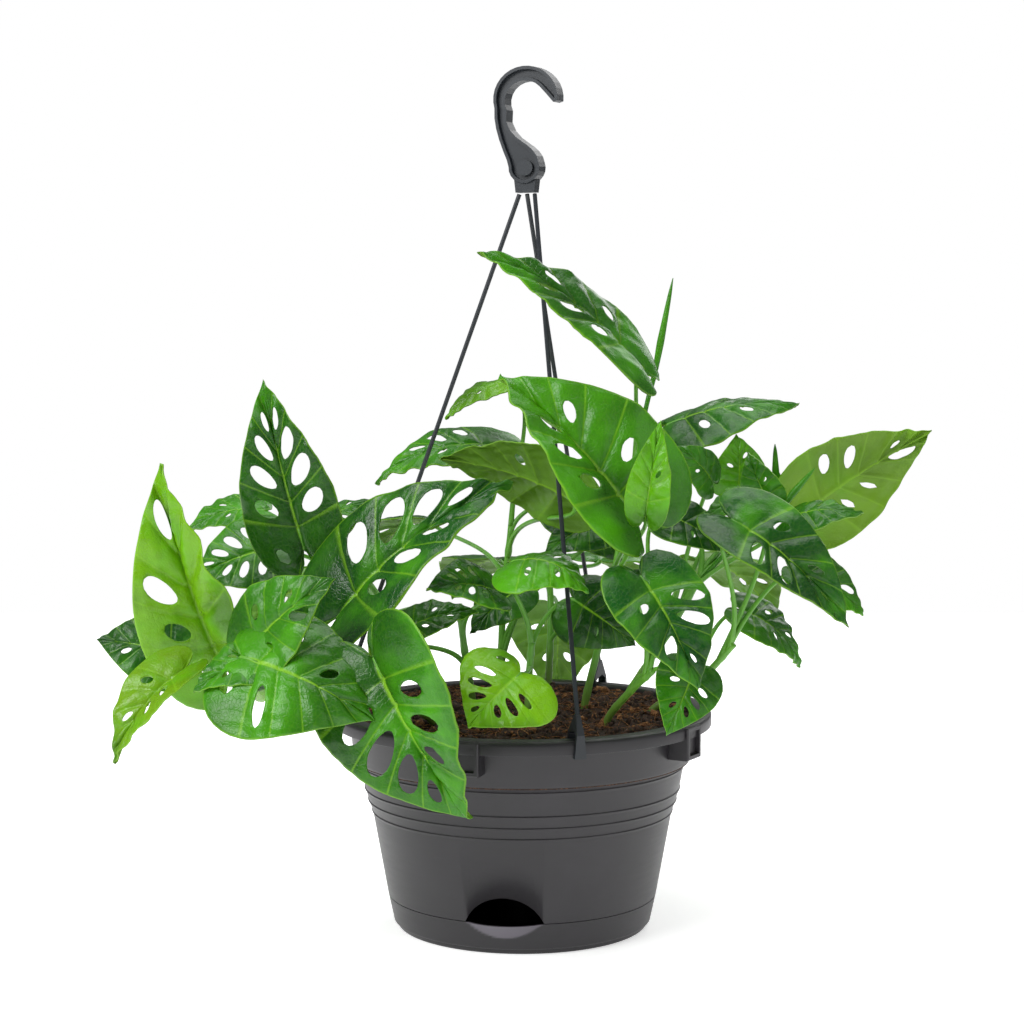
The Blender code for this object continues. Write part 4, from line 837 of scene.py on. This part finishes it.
def bladeSurface(spec, number):
    # The blade's two faces and the walls round its margin and holes.
    rows = leafForm["rowsPerCell"] * 7 + 1
    half = leafForm["columns"]
    turn = math.pi / 2 * leafForm["spread"]
    spread = np.sin(np.linspace(-1, 1, 2 * half + 1) * turn) / math.sin(turn)
    cell, across = np.meshgrid(np.linspace(-1, 6, rows), spread, indexing="ij")
    cell, across, inside, gone = openHoles(spec, cell, across)
    along, wide = flatPlace(cell, across)
    middle = bladePlace(spec, along, wide)
    step = 1e-3
    ahead = bladePlace(spec, along + step, wide) - middle
    aside = bladePlace(spec, along, wide + step) - middle
    normal = unit(np.cross(ahead, aside))
    length = np.linalg.norm(spec["tip"] - spec["seat"])
    size = length / 120
    away = 0.5 - np.abs(cell % 1.0 - 0.5)
    reach = np.abs(across)
    puff = np.sin(math.pi * np.clip(away, 0, 1)) ** 0.8 * np.sin(math.pi * np.clip(reach, 0, 1)) ** 0.6
    relief = leafForm["quilt"] * size * puff * (cell > 0)
    relief -= leafForm["groove"] * size * np.exp(-(away / 0.07) ** 2) * (1 - reach) * (cell > -0.2)
    relief -= leafForm["groove"] * size * np.exp(-(reach / 0.05) ** 2)
    relief += leafForm["pucker"] * wobble(middle, 9.0, 40 + number) * np.minimum(1, reach * 8)
    ripple = wobble(np.stack([cell * 20 * np.sign(across), reach * 6], -1), 26.0, 90 + number)
    relief += leafForm["wave"] * length * ripple * reach**3
    midrib = np.exp(-(reach / 0.035) ** 2)
    sideVein = 0.5 * np.exp(-(away / 0.04) ** 2) * (1 - reach)
    ridge = 0.55 * size * np.maximum(midrib, sideVein)
    thick = leafForm["thick"] / 2
    top = middle + normal * (relief + thick)[..., None]
    low = middle + normal * (relief - thick - ridge * (cell > 0))[..., None]
    faces = gridFaces(rows, 2 * half + 1)
    flatInside, flatGone = inside.ravel(), gone.ravel()
    kept = ~flatGone[faces].any(1) & ~flatInside[faces].all(1)
    faces = faces[kept]
    points = np.concatenate([top.reshape(-1, 3), low.reshape(-1, 3)])
    count = rows * (2 * half + 1)
    flat = np.round(middle.reshape(-1, 3), 3)
    _, first, back = np.unique(flat, axis=0, return_index=True, return_inverse=True)
    joined = first[back.reshape(-1)]
    faces = joined[faces]
    faces = faces[(faces[:, 0] != faces[:, 1]) & (faces[:, 1] != faces[:, 2]) & (faces[:, 0] != faces[:, 2])]
    edges = np.concatenate([faces[:, [0, 1]], faces[:, [1, 2]], faces[:, [2, 0]]])
    codes, others = edges[:, 0] * count + edges[:, 1], edges[:, 1] * count + edges[:, 0]
    rimEdges = edges[~np.isin(codes, others)]
    a, b = rimEdges[:, 0], rimEdges[:, 1]
    walls = np.concatenate([np.stack([b, a, a + count], -1), np.stack([b, a + count, b + count], -1)])
    faces = np.concatenate([faces, faces[:, ::-1] + count, walls])
    place = np.stack([cell.ravel(), across.ravel(), np.zeros(count)], -1)
    under = place.copy()
    under[:, 2] = 1.0
    tint = np.tile([spec["tint"][0], spec["tint"][1], 0.0], (2 * count, 1))
    return points, faces, {"leafPlace": np.concatenate([place, under]), "leafTint": tint}


def stemPath(name):
    (x, y), bends = stems[name]
    ground = soilHeight(x, y)
    return np.array([(x, y, ground - 19.0), (x, y, ground + 2.0), *bends], float)


def onPath(path, share):
    steps = np.linalg.norm(np.diff(path, axis=0), axis=1)
    run = np.concatenate([[0], np.cumsum(steps)]) / steps.sum()
    return np.array([np.interp(share, run, path[:, k]) for k in range(3)])


def stalkSurface(spec):
    # A cubic curve from the stem into the blade's underside, thicker at its foot and swollen under the blade.
    path = stemPath(spec["stem"])
    start = onPath(path[1:], spec["rise"])
    chord = spec["tip"] - spec["seat"]
    ahead = chord / np.linalg.norm(chord)
    up = unit(spec["face"] - ahead * (spec["face"] @ ahead))
    reach = np.linalg.norm(spec["seat"] - start)
    rising = unit(path[-1] - path[1]) * 0.5 + np.array([0, 0, 0.5])
    seat = spec["seat"] - up * 0.8
    arrive = unit(up * 0.8 + ahead * 0.45)
    t = np.linspace(0, 1, 22)[:, None]
    b, c = start + rising * reach * 0.45, seat - arrive * reach * 0.3
    curve = start * (1 - t) ** 3 + b * 3 * t * (1 - t) ** 2 + c * 3 * t**2 * (1 - t) + seat * t**3
    ends = bladePlace(spec, np.array([0.05, 0.12]), np.zeros(2)) - up * 0.7
    curve = np.concatenate([curve, ends])
    share = np.linspace(0, 1, len(curve))
    radii = 1.45 + 0.75 * (1 - share) ** 3 + 0.5 * np.exp(-((share - 0.86) / 0.05) ** 2)
    radii[-1], radii[-2] = 0.5, 1.1
    return aroundPath(curve, radii, 10)


def stemSurface(name):
    # The stem with a ring at each node.
    path = smoothPath(stemPath(name), 40)
    share = np.linspace(0, 1, 40)
    radii = 2.8 - 0.5 * share + 0.45 * np.exp(-((share * 5 % 1 - 0.5) / 0.09) ** 2)
    return aroundPath(path, radii, 14)


def spikeSurface(name, foot, tip):
    start = onPath(stemPath(name)[1:], 0.95)
    bend = (start + foot) / 2 + np.array([0, 0, 4])
    curve = smoothPath([start, bend, foot, foot + (tip - foot) * 0.35, foot + (tip - foot) * 0.8, tip], 40)
    share = np.linspace(0, 5, 40)
    radii = np.interp(share, [0, 1, 2, 3, 4, 5], [1.7, 1.7, 1.9, 2.7, 1.5, 0.3])
    points, faces = aroundPath(curve, radii, 12)
    place = np.tile([3.3, 0.4, 0.0], (len(points), 1))
    return points, faces, {"leafPlace": place, "leafTint": np.tile([0.55, 0.2, 0.0], (len(points), 1))}


def makeVine(name):
    green, stalks = [], [stemSurface(name)]
    for number, spec in enumerate(leaves):
        if spec["stem"] == name:
            green.append(bladeSurface(spec, number))
            stalks.append(stalkSurface(spec))
    green += [spikeSurface(*spike) for spike in spikes if spike[0] == name]
    plain = []
    for points, faces in stalks:
        zero = np.zeros((len(points), 3))
        plain.append((points, faces, {"leafPlace": zero, "leafTint": zero}))
    bladeFaces = sum(len(one[1]) for one in green)
    points, faces, traits = stacked(green + plain)
    slots = np.arange(len(faces)) >= bladeFaces
    words = name.split("_")
    title = words[0] + "".join(word.capitalize() for word in words[1:])
    piece = makePiece(title, points, faces, [leafFinish, stalkFinish], slots, traits, sharp=None)
    return keep(piece, name)


print("vines")
for stemName in stems:
    makeVine(stemName)

# Camera, floor and lights

setting = {"floorHalf": 1.7, "floorSteps": 25, "floor": 0.92, "glow": 0.55, "world": 0.24,
           "key": 56.0, "fill": 8.0, "top": 26.0, "rim": 12.0}


def addLight(name, power, size, place, target=(0, 0, 0.28)):
    light = bpy.data.lights.new(name, "AREA")
    light.energy, light.shape, light.size, light.size_y = power, "RECTANGLE", size[0], size[1]
    lamp = bpy.data.objects.new(name, light)
    bpy.context.scene.collection.objects.link(lamp)
    lamp.location = place
    lamp.rotation_euler = (Vector(target) - Vector(place)).to_track_quat("-Z", "Y").to_euler()


def makeSetting():
    steps = np.linspace(-setting["floorHalf"], setting["floorHalf"], setting["floorSteps"])
    x, y = np.meshgrid(steps, steps, indexing="ij")
    grid = np.stack([x, y, np.zeros_like(x)], -1) * 1000
    white = Finish("paleFloor", 0.8)
    white.colour((setting["floor"],) * 3)
    white.shader.inputs["Emission Color"].default_value = (1, 1, 1, 1)
    white.shader.inputs["Emission Strength"].default_value = setting["glow"]
    faces = gridFaces(len(steps), len(steps))
    floor = makePiece("floor", grid.reshape(-1, 3), faces, [white.material], sharp=None)
    floor.location.z = -0.0004
    world = bpy.data.worlds.new("studio")
    world.use_nodes = True
    back = world.node_tree.nodes["Background"]
    back.inputs[0].default_value = (1, 1, 1, 1)
    # The backdrop shows as white, and lights the scene with less than that.
    path = world.node_tree.nodes.new("ShaderNodeLightPath")
    level = world.node_tree.nodes.new("ShaderNodeMapRange")
    level.inputs[3].default_value, level.inputs[4].default_value = setting["world"], 1.0
    world.node_tree.links.new(path.outputs["Is Camera Ray"], level.inputs[0])
    world.node_tree.links.new(level.outputs[0], back.inputs[1])
    bpy.context.scene.world = world
    addLight("keyLight", setting["key"], (1.4, 1.4), (-1.5, -1.3, 1.7))
    addLight("fillLight", setting["fill"], (1.6, 1.6), (1.8, -1.2, 1.0))
    addLight("topLight", setting["top"], (1.6, 1.6), (0.1, 0.2, 2.1))
    addLight("rimLight", setting["rim"], (1.2, 1.2), (0.9, 1.7, 1.3))
    bpy.context.scene.view_settings.view_transform = "Standard"


def makeCamera():
    camera = bpy.data.objects.new("camera", bpy.data.cameras.new("camera"))
    bpy.context.scene.collection.objects.link(camera)
    camera.data.lens, camera.data.sensor_width = view["lens"], 36.0
    camera.data.clip_start = 0.05
    camera.location = (view["x"] * mm, -view["distance"] * mm, view["height"] * mm)
    camera.rotation_euler = (math.radians(90 - view["pitch"]), 0, 0)
    bpy.context.scene.camera = camera


print("setting")
makeSetting()
makeCamera()
